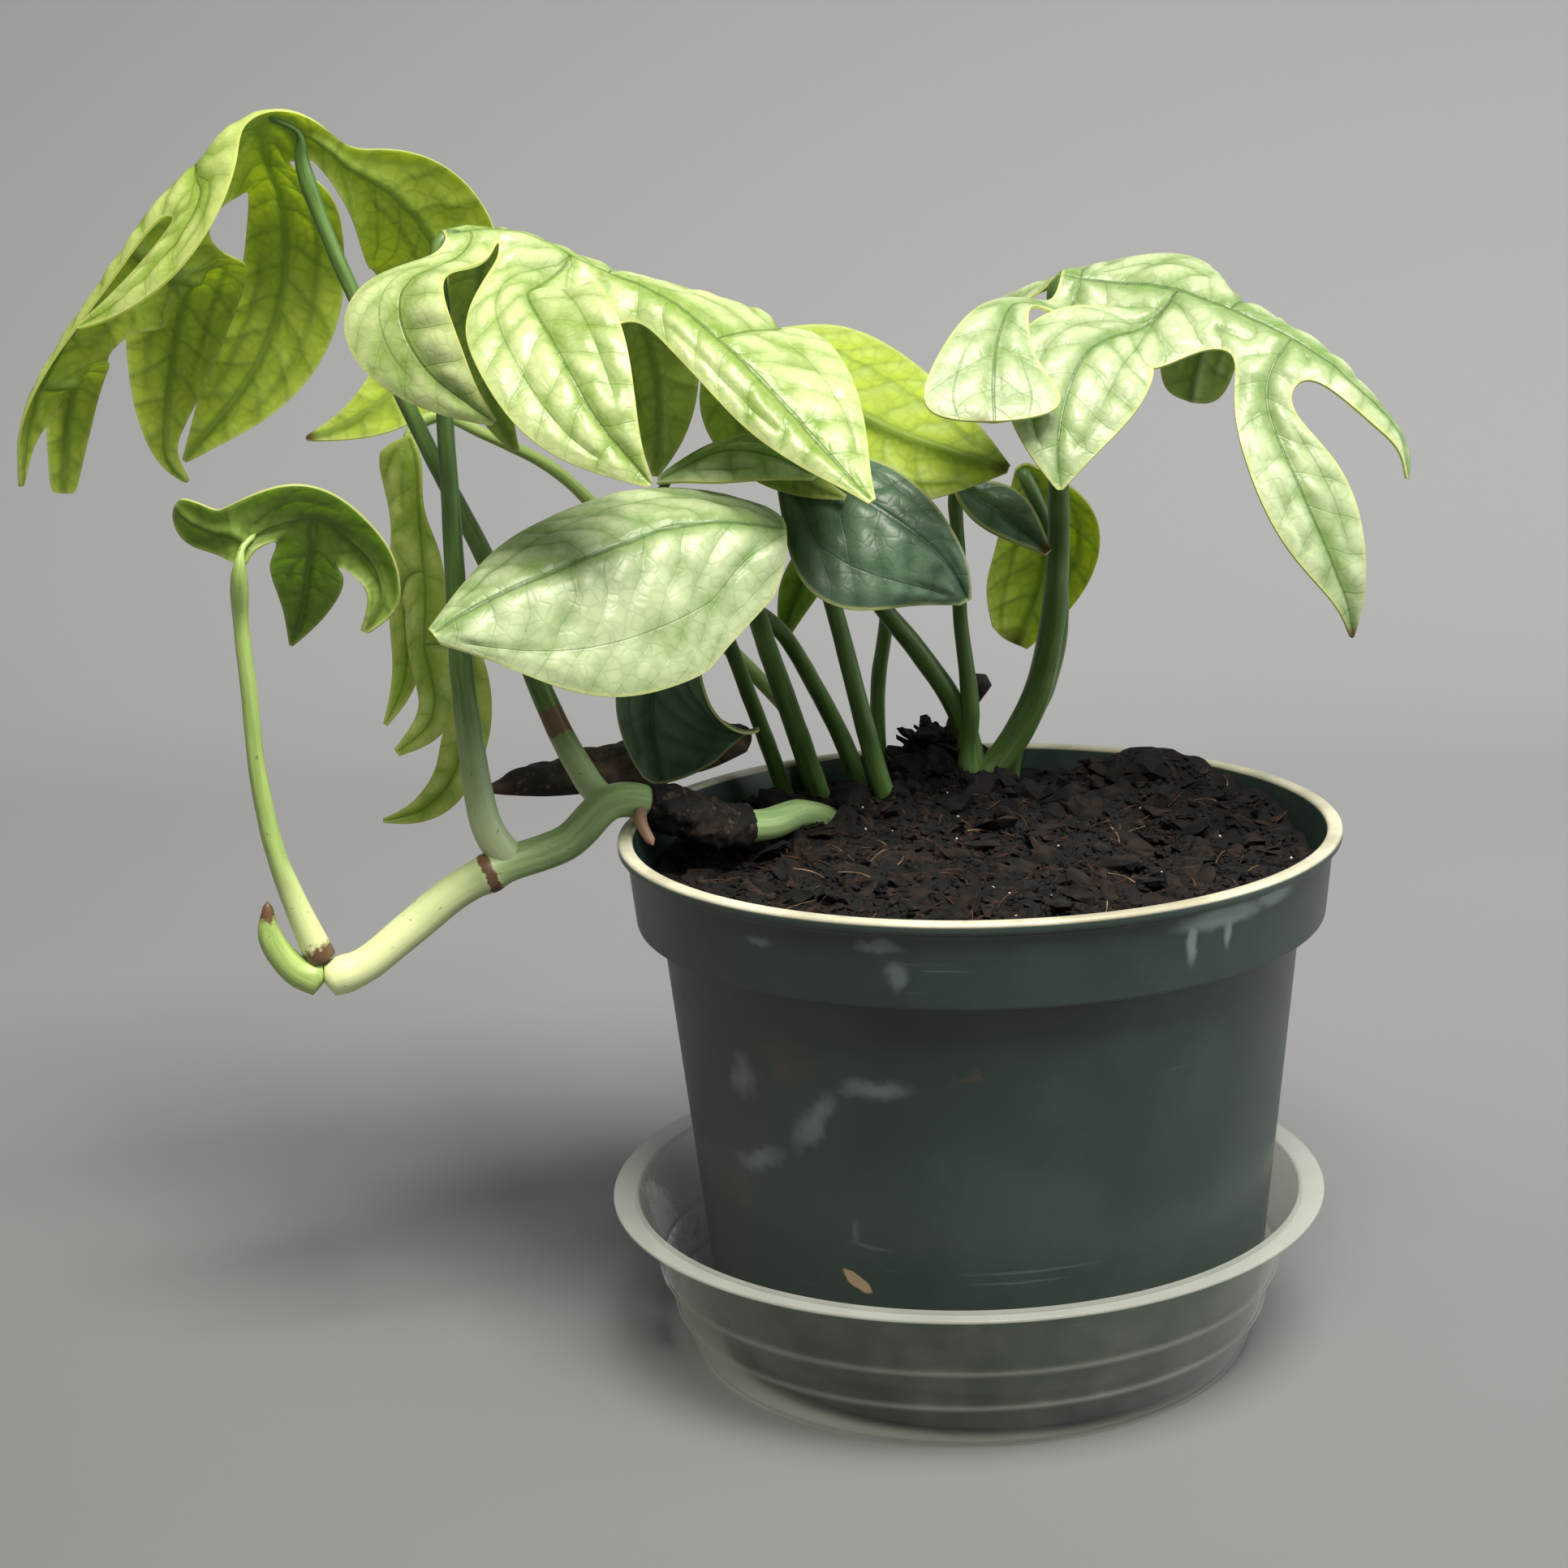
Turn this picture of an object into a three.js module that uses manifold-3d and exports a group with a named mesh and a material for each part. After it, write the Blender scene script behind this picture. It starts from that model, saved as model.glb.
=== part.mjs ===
// Potted silver amydrium: a young climbing aroid in a green nursery pot that stands in a clear saucer.
// Millimetres, +Z up, the room's front towards -Y. The origin is on the pot's axis, on the floor.
// Every leaf is one thin sheet along a midrib: a web beside the rib, and lobes that leave its edge.

import * as THREE from "three";
import { mergeVertices } from "three/addons/utils/BufferGeometryUtils.js";
import Module from "manifold-3d";

const wasm = await Module();
wasm.setup();

// Driving dimensions
const GAP = 0.3; // between pieces that touch
const LEAF_GAP = 0.5; // between a stalk and its blade
const SLIVER = 0.03; // edges shorter than this are closed up after a cut
const ROUND_SEGMENTS = 40; // round the pot, the saucer and the soil

const POT = {
  bottom: 1.5, // underside of the floor, above the table
  footRadius: 59.5, // flat underside
  footCurve: [[61.6, 6], [64.1, 12]], // radius and height where the foot turns up into the body
  shoulderRadius: 73.3, // body just under the band
  shoulder: 103.9, // height of the band's lower edge
  bandBottomRadius: 78.8,
  bandTopRadius: 80.5,
  rimRadius: 82.5, // rolled lip, outside
  rimHeight: 2.6,
  top: 123.8,
  wall: 1.4,
  floor: 1.6,
  drainRadius: 4.5,
  drainCircle: 42,
  drains: 6,
};

const SAUCER = {
  centre: -4.3, // the saucer stands a little to the left of the pot's axis
  bottomRadius: 65.5,
  lipInner: 78.3,
  lipOuter: 83.3,
  height: 37.7,
  wall: 0.8,
  ridges: [11, 20.5], // heights of the two pressed rings in its wall
  ridgeOut: 0.7,
  ridgeHalf: 1.1,
};

const SOIL = {
  level: 117, // mean height of the surface
  rings: [10, 21, 32, 42, 51, 60, 69, 77], // radii of the surface's rings
  clearance: 0.4, // to the pot's inside
  lump: 1.3, // height of the bark and peat lumps
  // hollows and mounds: centre, spread and height
  mounds: [
    { x: -60, y: 8, spread: 22, height: -9 },
    { x: 52, y: 10, spread: 26, height: -5 },
    { x: 0, y: -62, spread: 40, height: 3 },
    { x: -24, y: 34, spread: 12, height: 3 },
    { x: -10, y: 66, spread: 10, height: 17 },
    { x: 4, y: 58, spread: 7, height: 3 },
    { x: 46, y: 60, spread: 20, height: 9.5 },
    { x: 62, y: 28, spread: 16, height: 5 },
  ],
};

// Finishes: colour, roughness and metalness
const finish = (colour, roughness, metalness = 0) =>
  new THREE.MeshStandardMaterial({ color: colour, roughness, metalness });

const FINISH = {
  pot: finish("#36423a", 0.45),
  saucer: finish("#c9cbc4", 0.15),
  soil: finish("#1f1a16", 0.95),
  silverLeaf: finish("#b4c995", 0.5),
  brightLeaf: finish("#9db548", 0.5),
  greenLeaf: finish("#5f7d35", 0.5),
  darkLeaf: finish("#3d5740", 0.5),
  deadLeaf: finish("#3a302a", 0.85),
  vine: finish("#a8bf8a", 0.5),
  paleStem: finish("#b9cf7c", 0.5),
  stem: finish("#4f6b45", 0.5),
  drySheath: finish("#4a4039", 0.9),
  root: finish("#8a6a55", 0.8),
};

// Lists spread evenly over 0..1, read as one smooth curve
function along(list, t) {
  if (list.length === 1) return list[0];
  const place = Math.min(Math.max(t, 0), 1) * (list.length - 1);
  const i = Math.min(Math.floor(place), list.length - 2);
  const f = place - i;
  const at = (k) => list[Math.min(Math.max(k, 0), list.length - 1)];
  const [a, b, c, d] = [at(i - 1), at(i), at(i + 1), at(i + 2)];
  const linear = c - a;
  const square = 2 * a - 5 * b + 4 * c - d;
  const cubic = 3 * b - a - 3 * c + d;
  return 0.5 * (2 * b + linear * f + square * f * f + cubic * f * f * f);
}

const vectorAlong = (list, t) =>
  new THREE.Vector3(
    along(list.map((v) => v[0]), t),
    along(list.map((v) => v[1]), t),
    along(list.map((v) => v[2]), t),
  );

const curveThrough = (points) =>
  new THREE.CatmullRomCurve3(points.map((p) => new THREE.Vector3(...p)), false, "centripetal");

const smooth = (x) => {
  const t = Math.min(Math.max(x, 0), 1);
  return t * t * (3 - 2 * t);
};

const radians = (degrees) => (degrees * Math.PI) / 180;

// Solids: a closed geometry becomes a solid for cutting and joining, and goes back to a geometry
function toSolid(geometry) {
  const bare = geometry.clone();
  for (const name of Object.keys(bare.attributes)) if (name !== "position") bare.deleteAttribute(name);
  const merged = mergeVertices(bare, 1e-4);
  return new wasm.Manifold(
    new wasm.Mesh({
      numProp: 3,
      vertProperties: new Float32Array(merged.attributes.position.array),
      triVerts: new Uint32Array(merged.index.array),
    }),
  );
}

function toGeometry(solid) {
  const { numProp, vertProperties, triVerts } = solid.getMesh();
  const count = vertProperties.length / numProp;
  const positions = new Float32Array(count * 3);
  for (let i = 0; i < count; i += 1) {
    for (let k = 0; k < 3; k += 1) positions[3 * i + k] = vertProperties[numProp * i + k];
  }
  const geometry = new THREE.BufferGeometry();
  geometry.setAttribute("position", new THREE.BufferAttribute(positions, 3));
  geometry.setIndex(new THREE.BufferAttribute(new Uint32Array(triVerts), 1));
  geometry.computeVertexNormals();
  return geometry;
}

// The solid less its cutters, without the scraps and the sliver edges that a cut leaves
function cutAndKeepLargest(solid, cutters) {
  const cut = cutters.reduce((rest, cutter) => rest.subtract(cutter), solid).simplify(SLIVER);
  const pieces = cut.decompose();
  return pieces.reduce((best, piece) => (piece.volume() > best.volume() ? piece : best));
}

function indexedGeometry(positions, triangles) {
  const geometry = new THREE.BufferGeometry();
  geometry.setAttribute("position", new THREE.Float32BufferAttribute(positions, 3));
  geometry.setIndex(triangles);
  geometry.computeVertexNormals();
  return geometry;
}

// Stems: a tapered round tube along a smooth path, closed at both ends
function stemGeometry({ path, radius, sides = 6, pitch = 8 }, grow = 0) {
  const curve = curveThrough(path);
  const steps = Math.max(3, Math.round(curve.getLength() / pitch));
  const frames = curve.computeFrenetFrames(steps, false);
  const positions = [];
  const triangles = [];
  for (let i = 0; i <= steps; i += 1) {
    const centre = curve.getPointAt(i / steps);
    if (i === 0) centre.addScaledVector(frames.tangents[0], -grow);
    if (i === steps) centre.addScaledVector(frames.tangents[steps], grow);
    const r = (along(radius, i / steps) + grow) / Math.cos(Math.PI / sides);
    for (let j = 0; j < sides; j += 1) {
      const angle = (2 * Math.PI * j) / sides;
      const point = centre
        .clone()
        .addScaledVector(frames.normals[i], r * Math.cos(angle))
        .addScaledVector(frames.binormals[i], r * Math.sin(angle));
      positions.push(point.x, point.y, point.z);
    }
  }
  for (let i = 0; i < steps; i += 1) {
    for (let j = 0; j < sides; j += 1) {
      const [a, b] = [i * sides + j, i * sides + ((j + 1) % sides)];
      triangles.push(a, b, b + sides, a, b + sides, a + sides);
    }
  }
  for (let j = 1; j < sides - 1; j += 1) {
    const last = steps * sides;
    triangles.push(0, j + 1, j, last, last + j, last + j + 1);
  }
  return indexedGeometry(positions, triangles);
}

// A sheet's corners: a point, and how thick the blade is above and below it
class Sheet {
  constructor() {
    this.points = [];
    this.above = [];
    this.below = [];
    this.triangles = [];
    this.fixed = new Set(); // corners that stay where they are
  }

  corner(point, above, below) {
    this.points.push(point);
    this.above.push(above);
    this.below.push(below);
    return this.points.length - 1;
  }

  quad(a, b, c, d) {
    this.triangles.push([a, b, c], [a, c, d]);
  }

  // rows of corners: with the first row along the midrib's direction, their upper side is up
  fill(rows, flip) {
    for (let k = 0; k + 1 < rows.length; k += 1) {
      for (let m = 0; m + 1 < rows[k].length; m += 1) {
        const [a, b, c, d] = [rows[k][m], rows[k][m + 1], rows[k + 1][m + 1], rows[k + 1][m]];
        if (flip) this.quad(a, d, c, b);
        else this.quad(a, b, c, d);
      }
    }
  }

  // The edges that only one triangle has, in the order of that triangle
  border() {
    const edges = new Map();
    for (const [a, b, c] of this.triangles) {
      for (const [p, q] of [[a, b], [b, c], [c, a]]) {
        if (edges.has(`${q},${p}`)) edges.delete(`${q},${p}`);
        else edges.set(`${p},${q}`, [p, q]);
      }
    }
    return [...edges.values()];
  }

  // Evens out corners: an edge corner moves along the edge, any other among all its neighbours
  relax(passes, strength, fixed) {
    const border = this.border();
    const onBorder = new Set(border.flat());
    const near = this.points.map(() => new Set());
    const link = (p, q) => near[p].add(q) && near[q].add(p);
    for (const [p, q] of border) link(p, q);
    for (const [a, b, c] of this.triangles) {
      for (const [p, q] of [[a, b], [b, c], [c, a]]) {
        if (!onBorder.has(p)) near[p].add(q);
        if (!onBorder.has(q)) near[q].add(p);
      }
    }
    for (let pass = 0; pass < passes; pass += 1) {
      const moved = this.points.map((point, k) => {
        const mean = new THREE.Vector3();
        for (const q of near[k]) mean.add(this.points[q]);
        return point.clone().lerp(mean.divideScalar(near[k].size), fixed.has(k) ? 0 : strength);
      });
      this.points = moved;
    }
  }

  // The closed blade: both faces with the same triangles, joined round the edge
  thicken(grow = 0) {
    const count = this.points.length;
    const normals = this.points.map(() => new THREE.Vector3());
    for (const [a, b, c] of this.triangles) {
      const ab = this.points[b].clone().sub(this.points[a]);
      const ac = this.points[c].clone().sub(this.points[a]);
      const normal = ab.cross(ac);
      for (const k of [a, b, c]) normals[k].add(normal);
    }
    const edges = this.border();
    for (const normal of normals) normal.normalize();
    const outward = this.points.map(() => new THREE.Vector3());
    for (const [p, q] of edges) {
      const side = this.points[q].clone().sub(this.points[p]).cross(normals[p]).normalize();
      outward[p].add(side);
      outward[q].add(side);
    }
    const positions = [];
    for (const face of [1, -1]) {
      for (let k = 0; k < count; k += 1) {
        const thick = face > 0 ? this.above[k] : this.below[k];
        const point = this.points[k].clone().addScaledVector(normals[k], face * (thick + grow));
        if (grow > 0 && outward[k].lengthSq() > 0) point.addScaledVector(outward[k].normalize(), grow);
        positions.push(point.x, point.y, point.z);
      }
    }
    const triangles = [];
    for (const [a, b, c] of this.triangles) {
      triangles.push(a, b, c, a + count, c + count, b + count);
    }
    for (const [p, q] of edges) {
      triangles.push(q, p, p + count, q, p + count, q + count);
    }
    return indexedGeometry(positions, triangles);
  }
}

// Blades
const BLADE = {
  half: 0.4, // half the thickness of the blade
  ribBelow: 1.2, // how far the midrib stands out under the leaf's base
  veinBelow: 0.7, // and a lobe's own rib
  columns: [0.18, 0.55, 1], // corners across each half of the web, as shares of its width
  step: 7.5, // between corners along a rib
  relaxPasses: 2, // of the whole sheet, then of its inside only
  relaxStrength: 0.35,
  smoothPasses: 4,
  narrow: 5, // corners of rows that are narrower than this stay where they are
  waves: 3, // along a wavy edge
};

// Where a point of the blade lies beside the rib: out along the half, and up from it
function across(half, share, fold, curl) {
  const [start, bend] = [radians(fold), radians(curl)];
  if (Math.abs(bend) < 1e-3) return [half * share * Math.cos(start), half * share * Math.sin(start)];
  const [end, turn] = [start + bend * share, half / bend];
  return [turn * (Math.sin(end) - Math.sin(start)), turn * (Math.cos(start) - Math.cos(end))];
}

function frameAt(curve, faces, t) {
  const centre = curve.getPointAt(t);
  const ahead = curve.getTangentAt(t);
  const up = vectorAlong(faces, t);
  up.addScaledVector(ahead, -up.dot(ahead)).normalize();
  return { centre, ahead, up, right: ahead.clone().cross(up) };
}

function leafSheet(leaf) {
  const sheet = new Sheet();
  const curve = curveThrough(leaf.rib);
  const steps = leaf.steps ?? Math.max(6, Math.round(curve.getLength() / BLADE.step));
  const sides = { left: -1, right: 1 };
  const rows = [];
  const edgeDirection = { left: [], right: [] };
  for (let i = 0; i <= steps; i += 1) {
    const t = i / steps;
    const { centre, up, right } = frameAt(curve, leaf.face, t);
    const rib = BLADE.ribBelow * (1 - 0.8 * t);
    const row = { left: [], right: [] };
    const middle = sheet.corner(centre, BLADE.half, BLADE.half + rib);
    sheet.fixed.add(middle);
    for (const [name, sign] of Object.entries(sides)) {
      const half = leaf[name];
      const width = Math.max(along(half.width, t), 0.6);
      const [fold, curl] = [along(half.fold ?? [0], t), along(half.curl ?? [0], t)];
      for (const share of BLADE.columns) {
        const [out, lift] = across(width, share, fold, curl);
        const wave = (leaf.wave ?? 0) * share * share * Math.sin(2 * Math.PI * BLADE.waves * t + sign);
        const point = centre
          .clone()
          .addScaledVector(right, sign * out)
          .addScaledVector(up, lift + wave * Math.min(1, width / 10));
        row[name].push(sheet.corner(point, BLADE.half, BLADE.half));
        if (width < BLADE.narrow) sheet.fixed.add(row[name].at(-1));
      }
      const angle = radians(fold + curl);
      edgeDirection[name].push(
        right.clone().multiplyScalar(sign * Math.cos(angle)).addScaledVector(up, Math.sin(angle)),
      );
    }
    rows.push([...row.left.reverse(), middle, ...row.right]);
  }
  sheet.fill(rows, false);
  for (const lobe of leaf.lobes ?? []) addLobe(sheet, lobe, { rows, steps, edgeDirection, sides });
  sheet.relax(BLADE.relaxPasses, BLADE.relaxStrength, sheet.fixed);
  sheet.relax(BLADE.smoothPasses, BLADE.relaxStrength, new Set([...sheet.fixed, ...sheet.border().flat()]));
  return sheet;
}

function addLobe(sheet, lobe, { rows, steps, edgeDirection, sides }) {
  const sign = sides[lobe.side];
  const first = Math.round(lobe.from * steps);
  const last = Math.max(first + 1, Math.round(lobe.to * steps));
  const edge = [];
  for (let i = first; i <= last; i += 1) edge.push(sign < 0 ? rows[i][0] : rows[i].at(-1));
  const corners = edge.map((k) => sheet.points[k]);
  const middle = corners[0].clone().add(corners.at(-1)).multiplyScalar(0.5);
  const curve = curveThrough([middle.toArray(), ...lobe.rib]);
  const length = curve.getLength();
  const lobeSteps = Math.max(4, Math.round(length / BLADE.step));
  const rootHalf = corners[0].distanceTo(corners.at(-1)) / 2;
  const grid = [edge];
  for (let k = 1; k <= lobeSteps; k += 1) {
    const t = k / lobeSteps;
    const { centre, right } = frameAt(curve, lobe.face, t);
    const blend = smooth(t / (lobe.blend ?? 0.4));
    const row = [];
    for (let m = 0; m < edge.length; m += 1) {
      const across01 = (2 * m) / (edge.length - 1) - 1; // -1 towards the leaf's base, 1 towards its tip
      const full = Math.max(along(across01 < 0 ? lobe.near : lobe.far, t), 0.5);
      const half = rootHalf + (full - rootHalf) * blend;
      const placed = centre.clone().addScaledVector(right, -sign * across01 * half);
      const straight = corners[m].clone().addScaledVector(edgeDirection[lobe.side][first + m], t * length);
      const point = straight.lerp(placed, blend);
      const vein = edge.length % 2 && across01 === 0 ? BLADE.veinBelow * (1 - t) : 0;
      row.push(sheet.corner(point, BLADE.half, BLADE.half + vein));
      if (half < BLADE.narrow) sheet.fixed.add(row.at(-1));
    }
    grid.push(row);
  }
  sheet.fill(grid, sign > 0);
}

// Leaves. rib: the midrib from the stalk to the tip. face: which way the upper side looks along it.
// width, fold and curl of each half run from base to tip; fold and curl are degrees, up from flat.
// A lobe leaves the web between two shares of the midrib. Its near width lies towards the leaf's
// base and its far width towards the leaf's tip, both from the lobe's root to its own tip.
const LEAVES = [
  {
    name: "leaf_far_left",
    finish: FINISH.brightLeaf,
    rib: [
      [-151, 28, 277], [-151, 25, 284], [-155, 21, 288], [-162, 17, 286], [-174, 13, 277], [-184, 10, 267],
      [-196, 8, 251], [-207, 8, 237], [-216, 9, 221], [-219, 11, 206],
    ],
    face: [
      [0, 0.9, 0.4], [-0.2, 0.5, 0.8], [-0.4, 0.1, 0.9], [-0.5, 0.1, 0.85], [-0.65, 0.1, 0.7],
      [-0.8, 0.1, 0.5], [-0.85, 0.1, 0.4], [-0.9, 0.1, 0.35], [-0.9, 0.1, 0.3],
    ],
    steps: 20,
    left: { width: [2, 4, 6, 7, 6, 5, 4, 1], fold: [0, -10, -20, -10, 0], curl: [-10, -30, -30, 0] },
    right: {
      width: [5, 9, 12, 12, 12, 10, 6, 1],
      fold: [0, -20, -50, -50, -30, -10], curl: [-10, -30, -20],
    },
    lobes: [
      {
        side: "left", from: 0, to: 0.1,
        near: [3, 9, 23, 28, 24, 15, 8, 1], far: [0.5, 4, 9, 10, 10, 9, 6, 0.5],
        rib: [
          [-146, 31, 276], [-137, 39, 275], [-127, 46, 269], [-119, 50, 259], [-118, 50, 246],
          [-126, 48, 229], [-141, 46, 216], [-159, 44, 211],
        ],
        face: [
          [-0.1, 0.9, 0.4], [-0.3, 0.9, 0.4], [0.2, 0.9, 0.3], [0.4, 0.9, 0], [0.3, 0.9, -0.3],
          [0.2, 0.8, -0.6],
        ],
        blend: 0.12,
      },
      {
        side: "left", from: 0.2, to: 0.4, near: [10, 10, 9, 6, 1], far: [8, 8, 7, 5, 0.5],
        rib: [[-167, 5, 274], [-172, -1, 263], [-181, -4, 253], [-190, -4, 247], [-198, -3, 243]],
        face: [[-0.5, -0.6, 0.6]],
      },
      {
        side: "right", from: 0, to: 0.3, near: [12, 13, 14, 15, 13, 8, 1], far: [6, 8, 9, 11, 12, 8, 0.5],
        rib: [[-159, 40, 272], [-162, 50, 259], [-164, 54, 244], [-172, 54, 228], [-191, 50, 206]],
        face: [[0.1, 0.8, 0.6], [0, 1, 0.2], [0, 1, 0]],
        blend: 0.15,
      },
      {
        side: "right", from: 0.4, to: 0.6, near: [9, 11, 13, 11, 6, 1], far: [9, 12, 13, 12, 7, 0.5],
        rib: [[-181, 40, 257], [-188, 47, 243], [-193, 50, 225], [-197, 50, 210], [-190, 48, 201]],
        face: [[-0.1, 0.8, 0.6], [-0.1, 1, 0.2], [0, 1, 0]],
      },
      {
        side: "right", from: 0.7, to: 0.9, near: [7, 7, 6, 3], far: [6, 6, 5, 3],
        rib: [[-206, 21, 238], [-211, 26, 222], [-214, 26, 202]],
        face: [[-0.3, 0.9, 0.3]],
      },
    ],
  },
  {
    name: "leaf_upper_front",
    finish: FINISH.silverLeaf,
    rib: [
      [-114, -5, 261], [-99, 4, 261], [-82, 8, 252], [-68, 4, 246], [-52, -6, 234], [-34, -16, 215],
      [-21, -25, 202],
    ],
    face: [[0, -0.6, 0.8], [0, -0.5, 0.9], [0.2, -0.5, 0.9], [0.4, -0.7, 0.6], [0.4, -0.8, 0.5]],
    steps: 20,
    left: { width: [3, 8, 10, 15, 23, 26, 22, 12, 1], fold: [-10, -25, -10, 0, 0], curl: [-50, -20, 0] },
    right: { width: [2, 3, 4, 6, 9, 10, 10, 6, 1], fold: [-10], curl: [-20, -40, -20] },
    lobes: [
      {
        side: "right", from: 0, to: 0.1, near: [4, 14, 18, 17, 10, 1], far: [4, 7, 8, 8, 6, 0.5],
        rib: [[-117, -15, 259], [-120, -25, 252], [-116, -31, 241], [-109, -32, 229], [-101, -30, 222]],
        face: [[0, -0.7, 0.7], [-0.3, -0.9, 0.4], [-0.2, -1, 0.1], [0, -1, -0.1]],
      },
      {
        side: "right", from: 0.1, to: 0.4, near: [10, 15, 17, 18, 15, 1], far: [14, 15, 16, 14, 8, 0.5],
        rib: [[-101, -8, 255], [-93, -20, 246], [-84, -31, 234], [-76, -38, 221], [-67, -40, 209]],
        face: [[0.1, -0.7, 0.7], [0.2, -0.9, 0.3], [0.2, -1, 0]],
      },
      {
        side: "left", from: 0.05, to: 0.15, near: [5, 7, 8, 6, 1], far: [5, 7, 8, 6, 0.5],
        rib: [[-110, 16, 254], [-111, 24, 239], [-111, 24, 222], [-104, 18, 210]],
        face: [[-0.2, 0.9, 0.3], [0, 1, 0]],
      },
      {
        side: "left", from: 0.25, to: 0.4, near: [9, 13, 13, 9, 1], far: [7, 9, 9, 7, 0.5],
        rib: [[-78, 24, 246], [-71, 30, 232], [-70, 30, 216], [-73, 26, 202]],
        face: [[0, 0.9, 0.3], [0, 1, 0]],
      },
      {
        side: "left", from: 0.5, to: 0.65, near: [6, 7, 8, 6, 1], far: [6, 7, 7, 6, 0.5],
        rib: [[-60, 26, 228], [-53, 24, 213], [-41, 14, 203], [-28, 5, 199]],
        face: [[0.1, 0.9, 0.1], [0.2, 0.8, -0.5]],
      },
    ],
  },
  {
    name: "leaf_upper_back",
    finish: FINISH.brightLeaf,
    rib: [
      [-56, 46, 229], [-44, 42, 223], [-31, 36, 217], [-19, 31, 211], [-8, 27, 207], [2, 24, 204],
      [9, 22, 202],
    ],
    face: [[-0.1, 0.8, -0.55]],
    left: { width: [2, 16, 20, 20, 18, 12, 1], fold: [8], curl: [10] },
    right: { width: [6, 22, 24, 22, 18, 12, 1], fold: [8], curl: [10] },
    wave: 1,
  },
  {
    name: "leaf_broad_front",
    finish: FINISH.silverLeaf,
    rib: [
      [-41, -5, 194], [-53, -10, 197], [-66, -14, 197], [-80, -21, 193], [-93, -28, 189],
      [-107, -34, 184], [-116, -38, 178],
    ],
    face: [[-0.1, -0.5, 0.85], [-0.1, -0.55, 0.8], [-0.3, -0.6, 0.75]],
    left: { width: [17, 30, 35, 36, 32, 22, 3], fold: [-15], curl: [-50] },
    right: { width: [9, 19, 24, 26, 22, 14, 2], fold: [5], curl: [-40] },
    wave: 1,
  },
  {
    name: "leaf_hanging_dark",
    finish: FINISH.darkLeaf,
    rib: [[-64, 20, 167], [-72, 24, 162], [-78, 30, 150], [-78, 31, 138], [-75, 31, 127]],
    face: [[0, -0.7, 0.6], [0, -1, 0.2], [0.1, -1, 0]],
    left: { width: [8, 24, 31, 32, 29, 23, 13], fold: [5], curl: [10] },
    right: { width: [5, 12, 14, 14, 12, 9, 5], fold: [-20], curl: [-30] },
  },
  {
    name: "leaf_folded",
    finish: FINISH.silverLeaf,
    rib: [[-71, 12, 203], [-63, 10, 208], [-54, 6, 211], [-43, 1, 209], [-34, -4, 205]],
    face: [[0, -0.3, 0.95]],
    left: { width: [2, 8, 11, 8, 2], fold: [0] },
    right: { width: [2, 9, 12, 8, 2], fold: [0, -20, -20, 0] },
  },
  {
    name: "leaf_dark_silver",
    finish: FINISH.darkLeaf,
    rib: [[-43, 20, 204], [-29, 10, 201], [-16, 4, 194], [-5, 4, 184], [-1, 8, 174]],
    face: [[0, -0.85, 0.5], [0, -0.9, 0.4]],
    left: { width: [3, 10, 12, 11, 9, 5, 1], fold: [-10], curl: [-20] },
    right: { width: [3, 16, 25, 27, 24, 15, 2], fold: [10], curl: [-20] },
    wave: 1,
  },
  {
    name: "leaf_small_dark",
    finish: FINISH.darkLeaf,
    rib: [[-3, 42, 196], [7, 36, 190], [18, 30, 181]],
    face: [[0, -0.6, 0.8]],
    left: { width: [2, 7, 8, 5, 1], fold: [10] },
    right: { width: [2, 7, 8, 5, 1], fold: [10] },
  },
  {
    name: "leaf_backlit",
    finish: FINISH.brightLeaf,
    rib: [[13, 60, 198], [19, 70, 189], [20, 76, 177], [17, 79, 163], [11, 78, 150]],
    face: [[0, 0.7, 0.7], [0, 1, 0.1]],
    left: { width: [2, 11, 14, 15, 16, 8], fold: [-10], curl: [-20] },
    right: { width: [2, 11, 14, 13, 9, 3], fold: [-10], curl: [-20] },
    wave: 0.8,
  },
  {
    name: "leaf_small_green",
    finish: FINISH.greenLeaf,
    rib: [[-30, 55, 187], [-37, 57, 178], [-43, 58, 168], [-47, 59, 156]],
    face: [[-0.3, -0.9, 0]],
    left: { width: [2, 5, 6, 4, 1], fold: [10] },
    right: { width: [2, 5, 6, 4, 1], fold: [10] },
  },
  {
    name: "leaf_right",
    finish: FINISH.silverLeaf,
    rib: [
      [22, 33, 245], [34, 32, 243], [46, 28, 242], [62, 20, 236], [76, 14, 229], [90, 8, 217], [97, 4, 207],
      [97, 2, 200],
    ],
    face: [[0, -0.5, 0.85], [0.1, -0.5, 0.85], [0.4, -0.5, 0.75], [0.7, -0.4, 0.6], [0.9, -0.4, 0.1]],
    steps: 22,
    left: { width: [3, 10, 17, 16, 11, 8, 7, 7, 7, 6, 5, 1], fold: [0, 10, 10, 0, 0, 0], curl: [-30] },
    right: { width: [2, 7, 11, 11, 8, 7, 6, 1], fold: [-5], curl: [-30] },
    lobes: [
      {
        side: "right", from: 0, to: 0.09, near: [2, 3, 6, 9, 13, 20], far: [2, 2, 4, 8, 14, 23],
        rib: [[12, 16, 243], [7, 6, 236], [4, -2, 228], [5, -12, 216]],
        face: [[-0.2, -0.6, 0.8], [-0.2, -0.8, 0.5], [0.1, -0.8, 0.5], [0.1, -0.8, 0.5]],
      },
      {
        side: "right", from: 0.14, to: 0.41, near: [11, 13, 15, 16, 12, 1], far: [12, 17, 19, 18, 12, 0.5],
        rib: [[28, 17, 237], [23, 5, 225], [20, -5, 213], [20, -8, 201]],
        face: [[0, -0.8, 0.6], [0, -0.95, 0.25], [0, -1, 0]],
        blend: 0.35,
      },
      {
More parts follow.
